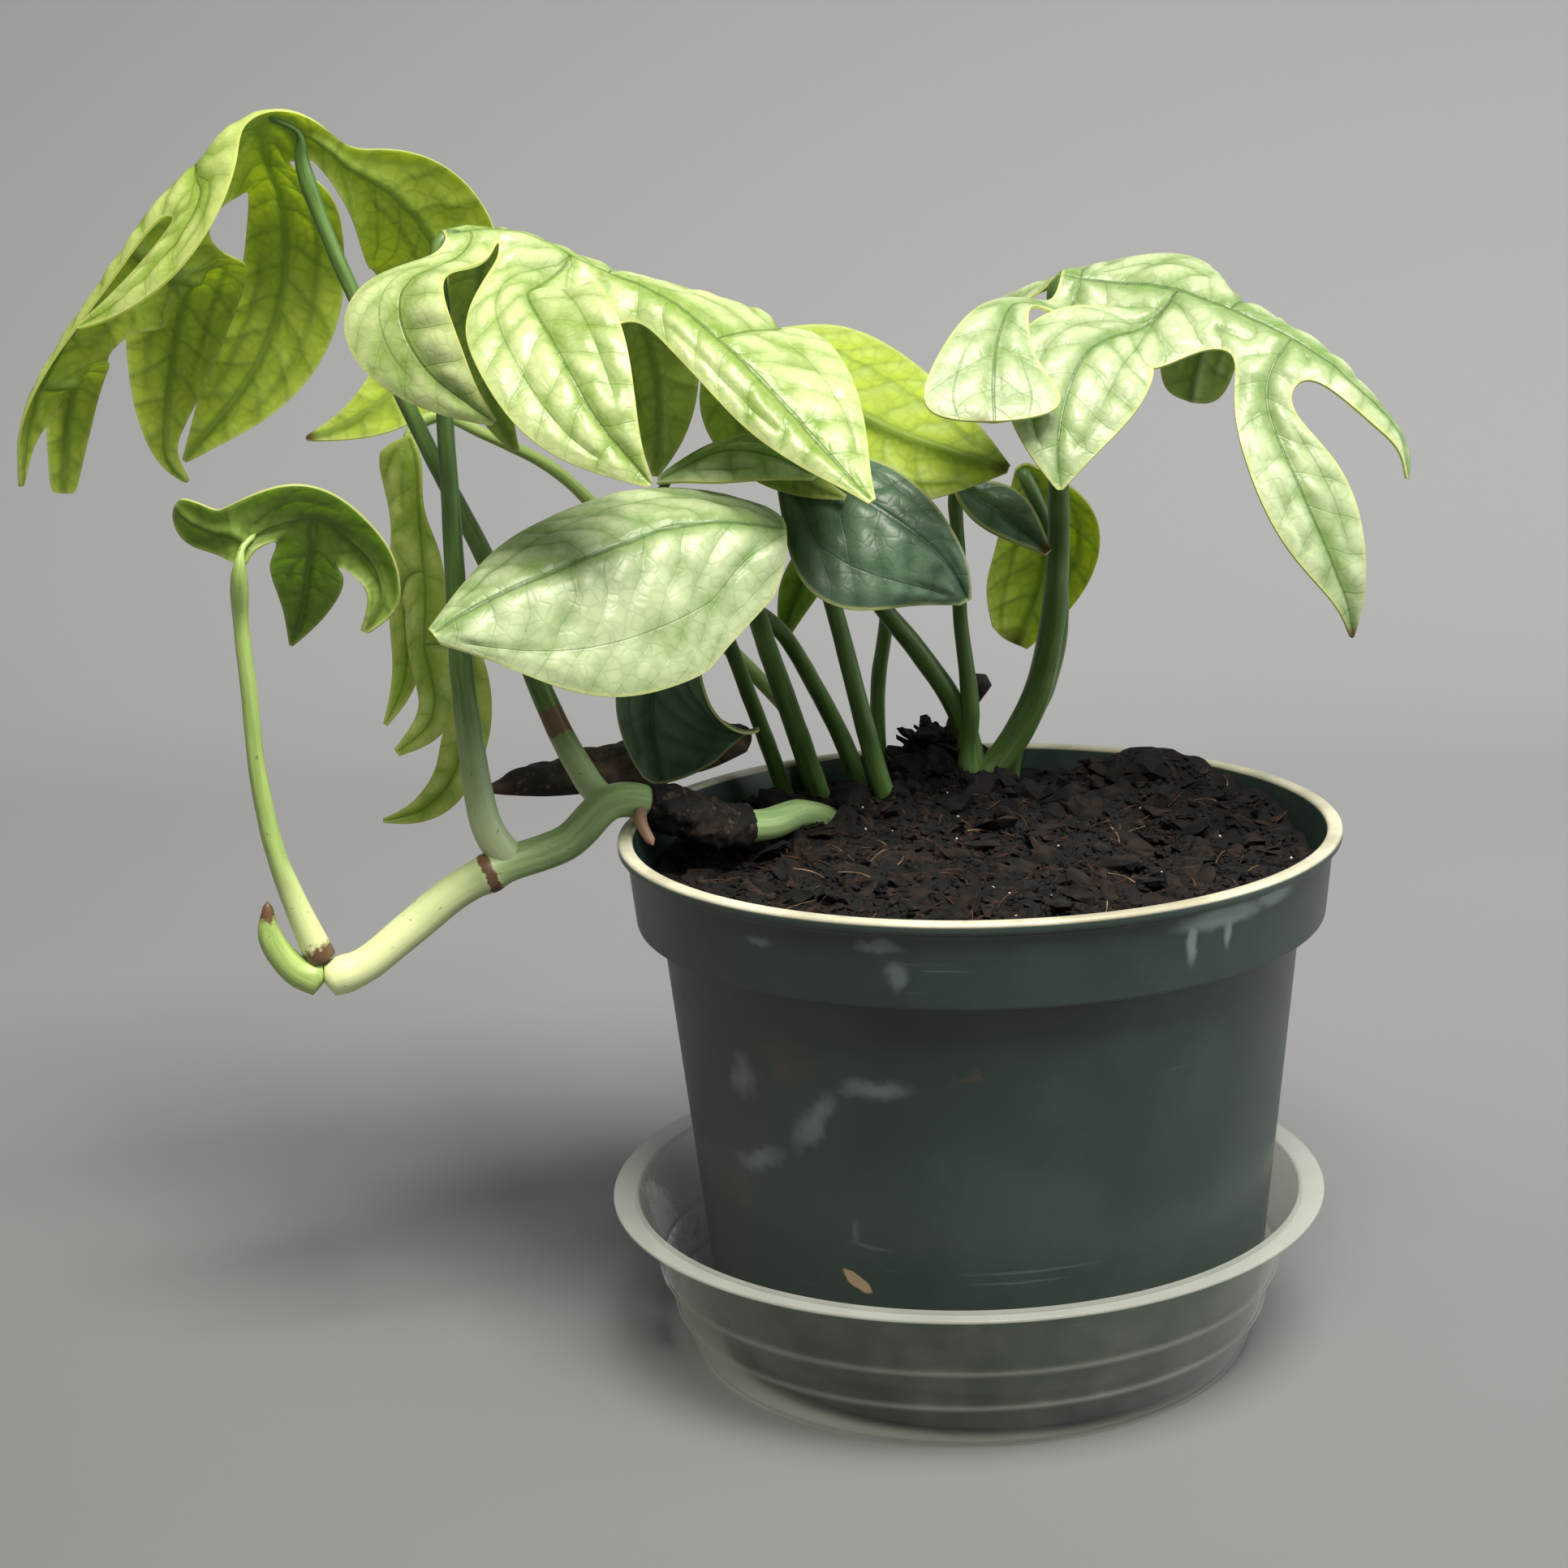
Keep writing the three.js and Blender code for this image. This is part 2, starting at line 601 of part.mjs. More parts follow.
        side: "right", from: 0.5, to: 0.64, near: [6, 7, 9, 10, 9, 4, 0.5], far: [6, 9, 11, 12, 10, 6, 0.5],
        rib: [[65, 6, 221], [69, -2, 208], [75, -8, 193], [82, -10, 179], [84, -6, 166]],
        face: [[0.3, -0.8, 0.5], [0.3, -0.95, 0.2], [0.5, -0.8, 0]],
      },
      {
        side: "left", from: 0, to: 0.09, near: [2, 5, 7, 6, 1], far: [1, 4, 7, 6, 0.5],
        rib: [[14, 44, 239], [6, 50, 236], [-2, 52, 231]],
        face: [[0, 0, 1], [-0.4, -0.3, 0.9], [-0.7, -0.5, 0.5]],
      },
      {
        side: "left", from: 0.32, to: 0.5, near: [7, 10, 10, 8], far: [7, 10, 10, 8],
        rib: [[54, 46, 230], [55, 50, 220], [53, 50, 213]],
        face: [[0.1, 0.9, 0.3], [0, 1, 0]],
      },
    ],
  },
  {
    name: "leaf_curled",
    finish: FINISH.greenLeaf,
    rib: [
      [-159, -30, 193], [-158, -29, 197], [-153, -25, 201], [-144, -20, 202], [-136, -17, 196],
      [-131, -16, 189], [-130, -17, 183], [-135, -18, 175],
    ],
    face: [[-0.2, 0.9, 0.3], [0, 0.8, 0.6], [0.1, 0.8, 0.6], [0.3, 0.8, 0.4], [0.3, 0.9, 0.1]],
    steps: 14,
    left: { width: [2, 4, 5, 7, 6, 4, 1], fold: [-30], curl: [-20] },
    right: { width: [2, 10, 12, 8, 7, 5, 1], fold: [0], curl: [-10] },
    lobes: [
      {
        side: "right", from: 0, to: 0.14, near: [4, 8, 8, 3], far: [4, 6, 7, 3],
        rib: [[-165, -28, 199], [-169, -30, 203], [-172, -29, 206]],
        face: [[-0.2, 0.7, 0.7]],
      },
      {
        side: "left", from: 0.21, to: 0.6, near: [10, 12, 11, 6, 0.5], far: [10, 11, 9, 5, 0.5],
        rib: [[-148, -8, 190], [-150, -2, 181], [-156, 0, 169]],
        face: [[0, 1, 0.2]],
      },
    ],
  },
  {
    name: "leaf_hanging",
    finish: FINISH.brightLeaf,
    rib: [
      [-133, 38, 212], [-131, 37, 207], [-131, 36, 199], [-131, 34, 188], [-130, 31, 178],
      [-130, 29, 170], [-131, 27, 163], [-129, 26, 155], [-128, 25, 150], [-130, 24, 144], [-138, 23, 138],
    ],
    face: [[0, -0.6, 0.8], [-0.2, -1, 0.2], [-0.2, -1, 0], [-0.2, -1, 0]],
    steps: 16,
    left: { width: [1, 1, 1, 4, 5, 5, 5, 5, 4, 1], fold: [-10], curl: [-20] },
    right: { width: [9, 11, 9, 7, 7, 6, 5, 5, 4, 1], fold: [-10], curl: [-20] },
    lobes: [
      {
        side: "right", from: 0.31, to: 0.5, near: [4, 4, 4, 3, 0.5], far: [4, 4, 4, 3, 0.5],
        rib: [[-137, 39, 166], [-137, 39, 156], [-139, 38, 149], [-143, 36, 142]],
        face: [[-0.2, -1, 0]],
      },
      {
        side: "left", from: 0.56, to: 0.7, near: [6, 6, 7, 6, 4, 0.5], far: [6, 6, 6, 5, 4, 0.5],
        rib: [
          [-122, 36, 150], [-125, 40, 137], [-128, 42, 127], [-134, 43, 120], [-140, 42, 117],
          [-146, 40, 117],
        ],
        face: [[0.2, -1, 0]],
      },
    ],
  },
  {
    name: "dead_leaf",
    finish: FINISH.deadLeaf,
    rib: [[-119, 36, 126], [-103, 41, 129], [-88, 46, 130], [-75, 50, 132], [-64, 54, 134], [-56, 58, 134]],
    face: [[0, -0.5, 0.9]],
    left: { width: [2, 6, 8, 9, 12, 8], fold: [10], curl: [-40, -70] },
    right: { width: [2, 7, 8, 8, 9, 6], fold: [-10], curl: [-60, -40] },
    wave: 1.2,
  },
];

// Stems and stalks. radius runs from the first point to the last.
// meets: the pieces that it ends against; planted: it stands in a hole in the soil.
const STEMS = [
  {
    name: "vine_stem",
    finish: FINISH.vine,
    path: [
      [-28, 46, 100], [-33, 41, 112], [-42, 33, 118], [-51, 20, 119], [-62, 14, 121], [-74, 6, 128],
      [-84, 2, 130], [-95, 0, 121], [-109, -5, 117], [-120, -8, 112], [-131, -12, 104], [-141, -16, 97],
      [-150, -18, 94],
    ],
    radius: [3.6, 3.8, 4, 4.2, 4.2, 4],
    sides: 8,
    meets: [],
    planted: true,
  },
  {
    name: "growth_bud",
    finish: FINISH.paleStem,
    path: [[-150, -18, 94], [-156, -19, 97], [-161, -20, 105], [-161, -21, 114]],
    radius: [4, 3.4, 2.8, 0.9],
    sides: 6,
    pitch: 4,
    meets: ["vine_stem"],
  },
  {
    name: "petiole_curled",
    finish: FINISH.paleStem,
    path: [
      [-150, -17, 98], [-154, -19, 110], [-158, -22, 126], [-160, -24, 145], [-160, -26, 164],
      [-160, -28, 181], [-159, -30, 192.5],
    ],
    radius: [3.6, 2.6, 2.2, 2, 1.8],
    meets: ["vine_stem", "growth_bud", "leaf_curled"],
  },
  {
    name: "petiole_upper_front",
    finish: FINISH.stem,
    path: [
      [-107, -4, 117], [-112, -6, 126], [-115, -6, 149], [-116, -6, 168], [-116, -6, 187],
      [-116, -6, 205], [-116, -6, 223], [-115, -6, 241], [-114, -5, 261],
    ],
    radius: [4, 3.3, 3, 2.7, 2.4, 2.1, 1.8],
    sides: 7,
    meets: ["vine_stem", "leaf_upper_front"],
  },
  {
    name: "petiole_far_left",
    finish: FINISH.stem,
    path: [
      [-82, 3, 129], [-88, 9, 130], [-95, 13, 140], [-101, 16, 153], [-113, 20, 184],
      [-123, 22, 205], [-134, 24, 230], [-145, 26, 256], [-151, 28, 277],
    ],
    radius: [3.4, 3, 2.6, 2.3, 2.1, 1.9],
    meets: ["vine_stem", "leaf_far_left"],
  },
  {
    name: "aerial_root",
    finish: FINISH.root,
    path: [[-78, 4, 129], [-77, -3, 126], [-74, -8, 122]],
    radius: [1.8, 1.5, 1.1],
    pitch: 3,
    meets: ["vine_stem"],
  },
  {
    name: "petiole_broad_front",
    finish: FINISH.stem,
    path: [[-34, 58, 101], [-38, 53, 115], [-44, 36, 142], [-49, 14, 168], [-53, -6, 195]],
    radius: [3, 2.7, 2.4, 2.1],
    meets: ["leaf_broad_front"],
    planted: true,
  },
  {
    name: "petiole_hanging_dark",
    finish: FINISH.stem,
    path: [[-28, 60, 101], [-30, 60, 121], [-39, 45, 148], [-47, 32, 165], [-55, 23, 171], [-64, 20, 167]],
    radius: [2.6, 2.3, 2, 1.8],
    meets: ["leaf_hanging_dark"],
    planted: true,
  },
  {
    name: "petiole_dark_silver",
    finish: FINISH.stem,
    path: [[-19, 42, 101], [-21, 39, 115], [-26, 34, 138], [-34, 28, 175], [-43, 20, 204]],
    radius: [2.8, 2.4, 2.1, 1.8],
    meets: ["leaf_dark_silver"],
    planted: true,
  },
  {
    name: "petiole_folded",
    finish: FINISH.stem,
    path: [[-43, 50, 101], [-47, 51, 118], [-55, 41, 148], [-63, 27, 177], [-70.5, 13, 202]],
    radius: [2.2, 1.9, 1.6],
    meets: ["leaf_folded"],
    planted: true,
  },
  {
    name: "petiole_small_green",
    finish: FINISH.stem,
    path: [[-22, 63, 101], [-24, 66, 118], [-24, 66, 142], [-21, 62, 165], [-24, 57, 182], [-30, 55, 187]],
    radius: [2.4, 2, 1.8, 1.5],
    meets: ["leaf_small_green"],
    planted: true,
  },
  {
    name: "petiole_hanging",
    finish: FINISH.paleStem,
    path: [
      [-40, 61, 108], [-41, 63, 120], [-45, 66, 134], [-54, 64, 146], [-70, 58, 165], [-90, 50, 191],
      [-100, 46, 202], [-115, 42, 211], [-126, 40, 216], [-133, 38, 212],
    ],
    radius: [2.2, 1.9, 1.6, 1.3],
    meets: ["leaf_hanging"],
    planted: true,
  },
  {
    name: "petiole_right",
    finish: FINISH.stem,
    path: [
      [-4, 58, 100], [0, 59, 117], [8, 60, 127], [15, 59, 140], [19, 55, 157], [21, 48, 180],
      [21, 42, 205], [22, 37, 228], [22, 33, 245],
    ],
    radius: [4, 3.9, 3.7, 3.4, 3, 2.6, 2.3],
    sides: 8,
    meets: ["leaf_right"],
    planted: true,
  },
  {
    name: "petiole_backlit",
    finish: FINISH.stem,
    path: [[8, 66, 101], [10, 69, 125], [18, 69, 140], [22, 65, 160], [19, 60, 182], [13, 60, 198]],
    radius: [2.4, 2.1, 1.8, 1.6],
    meets: ["leaf_backlit"],
    planted: true,
  },
  {
    name: "petiole_small_dark",
    finish: FINISH.stem,
    path: [[-1, 58, 114], [-2, 56, 128], [-1, 53, 139], [-3, 50, 163], [-3, 46, 179], [-3, 42, 196]],
    radius: [3, 2.4, 1.9, 1.7, 1.5],
    meets: ["petiole_right", "leaf_small_dark"],
    planted: true,
  },
  {
    name: "petiole_upper_back",
    finish: FINISH.stem,
    path: [
      [0, 60, 120], [-2, 57, 132], [-6, 54, 142], [-14, 51, 155], [-22, 49, 166], [-38, 47, 194],
      [-56, 46, 229],
    ],
    radius: [3, 2.6, 2.2, 2, 1.8],
    meets: ["petiole_right", "petiole_small_dark", "leaf_upper_back"],
    planted: true,
  },
  {
    name: "old_stem_stub",
    finish: FINISH.drySheath,
    path: [[-7, 70, 120], [-4, 70, 133], [3, 70, 144]],
    radius: [2.6, 2.6, 2.8],
    pitch: 5,
    meets: [],
    planted: true,
  },
];

// The dried sheath that is left round the vine's first node
const SHEATH = {
  path: [[-54, 19, 119.5], [-62, 14, 121], [-72, 7.5, 127], [-77, 4.5, 129]],
  radius: [5.2, 6.2, 6.2, 5.2],
};

// Pot
function potProfile() {
  const { wall, bottom, top } = POT;
  const floorTop = bottom + POT.floor;
  const shoulder = [POT.shoulderRadius, POT.shoulder];
  const outside = [[0, bottom], [POT.footRadius, bottom], ...POT.footCurve, shoulder];
  const band = [
    [POT.bandBottomRadius, POT.shoulder],
    [POT.bandTopRadius, top - POT.rimHeight - 0.6],
    [POT.rimRadius, top - POT.rimHeight],
    [POT.rimRadius, top - 0.5],
    [POT.rimRadius - 0.6, top],
    [POT.bandTopRadius - wall + 0.4, top],
    [POT.bandTopRadius - wall, top - 0.6],
    [POT.bandBottomRadius - wall, POT.shoulder + wall],
    [POT.shoulderRadius - wall, POT.shoulder + wall],
  ];
  const inside = [
    ...POT.footCurve.map(([r, z]) => [r - wall, z]).reverse(),
    [POT.footRadius - wall, floorTop],
    [0, floorTop],
  ];
  return [...outside, ...band, ...inside];
}

function lathe(profile) {
  const points = profile.map(([r, z]) => new THREE.Vector2(r, z));
  return new THREE.LatheGeometry(points, ROUND_SEGMENTS).rotateX(Math.PI / 2);
}

function potGeometry() {
  const drain = new THREE.ExtrudeGeometry(
    new THREE.Shape().absarc(0, 0, POT.drainRadius, 0, 2 * Math.PI),
    { depth: 3 * POT.floor, bevelEnabled: false, curveSegments: 8 },
  );
  const holes = Array.from({ length: POT.drains }, (_, i) => {
    const angle = (2 * Math.PI * (i + 0.5)) / POT.drains;
    const place = [POT.drainCircle * Math.cos(angle), POT.drainCircle * Math.sin(angle), 0];
    return toSolid(drain).translate(place);
  });
  return toGeometry(cutAndKeepLargest(toSolid(lathe(potProfile())), holes));
}

// Saucer: thin clear plastic with two pressed rings and a flat lip
function saucerProfile() {
  const { bottomRadius, lipInner, lipOuter, height, wall } = SAUCER;
  const under = height - wall;
  const radiusAt = (z) => bottomRadius + ((lipInner - bottomRadius) * z) / under;
  const ring = (z, inward) => [
    [radiusAt(z - SAUCER.ridgeHalf) - inward, z - SAUCER.ridgeHalf],
    [radiusAt(z) + SAUCER.ridgeOut - inward, z],
    [radiusAt(z + SAUCER.ridgeHalf) - inward, z + SAUCER.ridgeHalf],
  ];
  const outside = SAUCER.ridges.flatMap((z) => ring(z, 0));
  const inside = SAUCER.ridges.flatMap((z) => ring(z, wall)).reverse();
  return [
    [0, 0], [bottomRadius - 0.8, 0], [bottomRadius, 0.8], ...outside, [lipInner, under], [lipOuter, under],
    [lipOuter, height], [lipInner - wall, height], ...inside, [bottomRadius - wall, wall + 0.4],
    [bottomRadius - wall - 0.8, wall], [0, wall],
  ];
}

// Soil: fills the pot's inside, with a lumpy top
function soilHeight(x, y) {
  const mounds = SOIL.mounds.reduce((sum, mound) => {
    const away = ((x - mound.x) ** 2 + (y - mound.y) ** 2) / mound.spread ** 2;
    return sum + mound.height * Math.exp(-away);
  }, 0);
  const lumps = Math.sin(0.33 * x + 1.3 * Math.sin(0.21 * y)) * Math.cos(0.29 * y + Math.sin(0.27 * x));
  return SOIL.level + mounds + SOIL.lump * lumps;
}

function soilGeometry() {
  const { clearance, rings } = SOIL;
  const ledge = POT.shoulder + POT.wall + clearance;
  const below = [
    [POT.footRadius - POT.wall - clearance, POT.bottom + POT.floor + clearance],
    [POT.footCurve[1][0] - POT.wall - clearance, POT.footCurve[1][1]],
    [POT.shoulderRadius - POT.wall - clearance, ledge],
    [POT.bandBottomRadius - POT.wall - clearance, ledge],
  ];
  const positions = [0, 0, below[0][1]];
  const triangles = [];
  const ringStarts = [];
  const addRing = (radius, height) => {
    ringStarts.push(positions.length / 3);
    for (let j = 0; j < ROUND_SEGMENTS; j += 1) {
      const angle = (2 * Math.PI * j) / ROUND_SEGMENTS;
      const [x, y] = [radius * Math.cos(angle), radius * Math.sin(angle)];
      positions.push(x, y, height ?? soilHeight(x, y));
    }
  };
  for (const [radius, height] of below) addRing(radius, height);
  for (const radius of [...rings].reverse()) addRing(radius);
  const top = positions.length / 3;
  positions.push(0, 0, soilHeight(0, 0));
  for (let j = 0; j < ROUND_SEGMENTS; j += 1) {
    const next = (j + 1) % ROUND_SEGMENTS;
    triangles.push(0, ringStarts[0] + next, ringStarts[0] + j);
    for (let k = 0; k + 1 < ringStarts.length; k += 1) {
      const [lower, upper] = [ringStarts[k], ringStarts[k + 1]];
      triangles.push(lower + j, lower + next, upper + next, lower + j, upper + next, upper + j);
    }
    triangles.push(ringStarts.at(-1) + j, ringStarts.at(-1) + next, top);
  }
  return indexedGeometry(positions, triangles);
}

// Assembly
const object = new THREE.Group();
object.name = "potted_silver_amydrium";

function addMesh(name, geometry, material) {
  const mesh = new THREE.Mesh(geometry, material);
  mesh.name = name;
  object.add(mesh);
  return mesh;
}

addMesh("saucer", lathe(saucerProfile()), FINISH.saucer).position.x = SAUCER.centre;
addMesh("pot", potGeometry(), FINISH.pot);

const cutters = new Map(); // each piece made a little larger, for its neighbours to end against
for (const leaf of LEAVES) {
  const sheet = leafSheet(leaf);
  const blade = sheet.thicken();
  addMesh(leaf.name, blade, leaf.finish);
  cutters.set(leaf.name, toSolid(blade).add(toSolid(sheet.thicken(LEAF_GAP))));
}
for (const stem of STEMS) {
  const solid = cutAndKeepLargest(toSolid(stemGeometry(stem)), stem.meets.map((name) => cutters.get(name)));
  addMesh(stem.name, toGeometry(solid), stem.finish);
  cutters.set(stem.name, toSolid(stemGeometry(stem, GAP)));
}
const sheathCutters = ["vine_stem", "aerial_root", "petiole_far_left"].map((name) => cutters.get(name));
const sheath = cutAndKeepLargest(toSolid(stemGeometry({ ...SHEATH, sides: 8, pitch: 6 })), sheathCutters);
addMesh("dried_sheath", toGeometry(sheath), FINISH.drySheath);

const holes = STEMS.filter((stem) => stem.planted).map((stem) => cutters.get(stem.name));
addMesh("soil", toGeometry(cutAndKeepLargest(toSolid(soilGeometry()), holes)), FINISH.soil);

export default object;
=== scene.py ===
"""Potted silver amydrium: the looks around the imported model.

A young climbing aroid with thin, quilted, silvery leaves, in a dark green nursery pot that stands in a
clear saucer. Lengths in the descriptions are millimetres, and Blender's own are metres.
"""

import logging
import math
from dataclasses import dataclass, field
from enum import Enum
from typing import ClassVar

import bpy
import numpy as np
from mathutils import Matrix, Vector, noise
from mathutils.kdtree import KDTree

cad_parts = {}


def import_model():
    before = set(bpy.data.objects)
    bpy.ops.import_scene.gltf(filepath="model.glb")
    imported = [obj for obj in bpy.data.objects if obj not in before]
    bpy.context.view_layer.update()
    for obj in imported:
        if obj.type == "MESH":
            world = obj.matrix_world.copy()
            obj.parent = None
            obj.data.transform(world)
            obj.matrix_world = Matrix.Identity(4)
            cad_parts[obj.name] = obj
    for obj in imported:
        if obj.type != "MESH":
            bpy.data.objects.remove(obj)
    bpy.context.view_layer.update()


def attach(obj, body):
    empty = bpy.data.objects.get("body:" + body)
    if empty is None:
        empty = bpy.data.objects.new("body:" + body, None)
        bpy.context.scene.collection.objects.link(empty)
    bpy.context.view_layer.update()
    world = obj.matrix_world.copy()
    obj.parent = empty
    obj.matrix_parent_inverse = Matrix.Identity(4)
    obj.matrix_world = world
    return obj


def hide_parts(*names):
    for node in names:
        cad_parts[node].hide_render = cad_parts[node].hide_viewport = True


LOG = logging.getLogger("amydrium")
MM = 0.001
Points = list[tuple[float, float, float]]


def linear(hexa: str) -> tuple[float, float, float, float]:
    """Turns an sRGB hex colour to the linear colour that a shader takes.

    Args:
        hexa: the colour, such as "#36423a".

    Returns:
        Red, green, blue and an alpha of 1.
    """
    parts = [int(hexa[k : k + 2], 16) / 255 for k in (1, 3, 5)]
    red, green, blue = (c / 12.92 if c <= 0.04045 else ((c + 0.055) / 1.055) ** 2.4 for c in parts)
    return (red, green, blue, 1.0)


@dataclass(frozen=True)
class Kind:
    """A kind of node as it is used here: its settings, its inputs in the order given, and its output."""

    name: str
    settings: dict[str, str] = field(default_factory=dict)
    places: tuple[int | str, ...] = (0, 1, 2, 3, 4)
    out: int | str = 0


MIX = Kind("ShaderNodeMix", {"data_type": "RGBA"}, (0, 6, 7), 2)
STEP = Kind("ShaderNodeMapRange", {"interpolation_type": "SMOOTHSTEP"})
NOISE = Kind("ShaderNodeTexNoise", places=("Vector", "Scale", "Detail", "Roughness"))
NET = Kind("ShaderNodeTexVoronoi", {"feature": "DISTANCE_TO_EDGE"}, ("Vector", "Scale"))
BUMP = Kind("ShaderNodeBump", places=("Strength", "Distance", "Height"))
PLACE = Kind("ShaderNodeTexCoord", out="Object")
PARTS = Kind("ShaderNodeSeparateXYZ")
SHIFT = Kind("ShaderNodeVectorMath")
MATH = "ShaderNodeMath"
PLUS, MINUS, TIMES, TIMES_PLUS, SIZE, LEAST, MOST = (
    Kind(MATH, {"operation": name})
    for name in ("ADD", "SUBTRACT", "MULTIPLY", "MULTIPLY_ADD", "ABSOLUTE", "MINIMUM", "MAXIMUM")
)


def add(
    tree: bpy.types.NodeTree, kind: Kind | str, *inputs: object, out: int | str | None = None, **settings: object
) -> bpy.types.NodeSocket | bpy.types.Node:
    """Adds a node to a tree, with its settings, values and links.

    Args:
        tree: the node tree.
        kind: the node's kind, or its type's name.
        inputs: for each input in turn a socket to link, a value, an sRGB hex colour, or None to leave it. A
            dict names inputs.
        out: which of the node's outputs to give back, where it isn't the kind's own.
        settings: the node's own properties.

    Returns:
        The chosen output, or the node where it has none.
    """
    kind = Kind(kind) if isinstance(kind, str) else kind
    node = tree.nodes.new(kind.name)
    for name, value in {**kind.settings, **settings}.items():
        setattr(node, name, value)
    named = {}
    for k, value in enumerate(inputs):
        named.update(value if isinstance(value, dict) else {kind.places[k]: value})
    for name, value in named.items():
        if isinstance(value, bpy.types.NodeSocket):
            tree.links.new(value, node.inputs[name])
        elif value is not None:
            node.inputs[name].default_value = linear(value) if isinstance(value, str) else value
    return node.outputs[kind.out if out is None else out] if len(node.outputs) else node


def coat(
    tree: bpy.types.NodeTree, colour: object, roughness: object, bump: object = None, more: dict | None = None
) -> None:
    """Ends a material with one opaque skin.

    Args:
        tree: the material's node tree.
        colour: the skin's colour.
        roughness: how rough it is.
        bump: the socket of its fine relief.
        more: its other inputs.
    """
    inputs = {"Base Color": colour, "Roughness": roughness, "Normal": bump, **(more or {})}
    skin = add(tree, "ShaderNodeBsdfPrincipled", inputs)
    add(tree, "ShaderNodeOutputMaterial", {"Surface": skin})


def held(tree: bpy.types.NodeTree, name: str) -> bpy.types.NodeSocket:
    """The socket of a number that a mesh holds for each corner."""
    return add(tree, "ShaderNodeAttribute", attribute_name=name, out=2)


def new_material(name: str) -> tuple[bpy.types.Material, bpy.types.NodeTree]:
    """Makes an empty node material.

    Args:
        name: what the material is.

    Returns:
        The material and its node tree, with no node in it.
    """
    material = bpy.data.materials.new(name)
    material.use_nodes = True
    material.node_tree.nodes.clear()
    return material, material.node_tree


def along(values: list[float], t: float) -> float:
    """Reads a list that is spread evenly over 0..1 as one smooth curve.

    Args:
        values: the list.
        t: the place.

    Returns:
        The value there.
    """
    if len(values) == 1:
        return values[0]
    place = min(max(t, 0.0), 1.0) * (len(values) - 1)
    i = min(math.floor(place), len(values) - 2)
    f = place - i
    a, b, c, d = (values[min(max(k, 0), len(values) - 1)] for k in (i - 1, i, i + 1, i + 2))
    return 0.5 * (
        2 * b + (c - a) * f + (2 * a - 5 * b + 4 * c - d) * f * f + (3 * b - a - 3 * c + d) * f * f * f
    )


def vector_along(vectors: Points, t: float) -> np.ndarray:
    """Reads a list of vectors as along() reads a list of numbers."""
    return np.array([along([v[k] for v in vectors], t) for k in range(3)])


def smooth(x: float) -> float:
    """A smooth step from 0 to 1."""
    t = min(max(x, 0.0), 1.0)
    return t * t * (3 - 2 * t)


def unit(v: np.ndarray) -> np.ndarray:
    """The vector at length 1."""
    return v / np.linalg.norm(v)


class Curve:
    """A centripetal Catmull-Rom curve through points, read by its length."""

    DIVISIONS = 200

    def __init__(self, points: Points) -> None:
        """Measures the curve.

        Args:
            points: what it runs through.
        """
        self.points = np.array(points, float)
        self.places = np.linspace(0, 1, self.DIVISIONS + 1)
        samples = np.array([self.at(t) for t in self.places])
        steps = np.linalg.norm(np.diff(samples, axis=0), axis=1)
        self.lengths = np.concatenate([[0], np.cumsum(steps)])
        self.length = float(self.lengths[-1])

    def at(self, t: float) -> np.ndarray:
        """The point at a share of the points' count."""
        pts, last = self.points, len(self.points) - 1
        i = min(int(last * t), last - 1)
        f = last * t - i
        p1, p2 = pts[i], pts[i + 1]
        p0 = pts[i - 1] if i > 0 else 2 * p1 - p2
        p3 = pts[i + 2] if i + 2 <= last else 2 * p2 - p1
        d0, d1, d2 = (math.sqrt(np.linalg.norm(b - a)) for a, b in ((p0, p1), (p1, p2), (p2, p3)))
        t1 = ((p1 - p0) / d0 - (p2 - p0) / (d0 + d1) + (p2 - p1) / d1) * d1
        t2 = ((p2 - p1) / d1 - (p3 - p1) / (d1 + d2) + (p3 - p2) / d2) * d1
        return p1 + t1 * f + (-3 * p1 + 3 * p2 - 2 * t1 - t2) * f**2 + (2 * p1 - 2 * p2 + t1 + t2) * f**3

    def point(self, share: float) -> np.ndarray:
        """The point at a share of the length."""
        return self.at(float(np.interp(share * self.length, self.lengths, self.places)))

    def ahead(self, share: float) -> np.ndarray:
        """The direction at a share of the length."""
        t = float(np.interp(share * self.length, self.lengths, self.places))
        return unit(self.at(min(t + 1e-4, 1)) - self.at(max(t - 1e-4, 0)))

    def frame(self, faces: Points, share: float) -> tuple[np.ndarray, np.ndarray, np.ndarray]:
        """The point, the way to the right and the way up, for a blade that faces as the list says."""
        ahead, up = self.ahead(share), vector_along(faces, share)
        up = unit(up - ahead * (up @ ahead))
        return self.point(share), np.cross(ahead, up), up


class Side(Enum):
    """The halves of a blade, seen from above with its tip ahead."""

    LEFT = -1
    RIGHT = 1


@dataclass(frozen=True)
class Half:
    """One half of the web: its width, and how many degrees it folds up and curls, from base to tip."""

    width: list[float]
    fold: list[float] = field(default_factory=lambda: [0])
    curl: list[float] = field(default_factory=lambda: [0])


@dataclass(frozen=True)
class Lobe:
    """A lobe that leaves the web between two shares of the midrib."""

    side: Side
    start: float
    end: float
    near: list[float]
    far: list[float]
    rib: Points
    face: Points
    blend: float = 0.4


@dataclass(frozen=True)
class Leaf:
    """A leaf: its midrib from the stalk to the tip, which way it faces, its two halves and its lobes."""

    name: str
    rib: Points
    face: Points
    left: Half
    right: Half
    lobes: tuple[Lobe, ...] = ()
    wave: float = 0.0
    steps: int = 0
    quilt: float = 1.0  # how far the blade bulges between its veins
    crumple: float = 0.0  # how far a dry blade is crumpled
    scorch: tuple[tuple[float, float, float, float], ...] = ()  # brown spots: place and radius


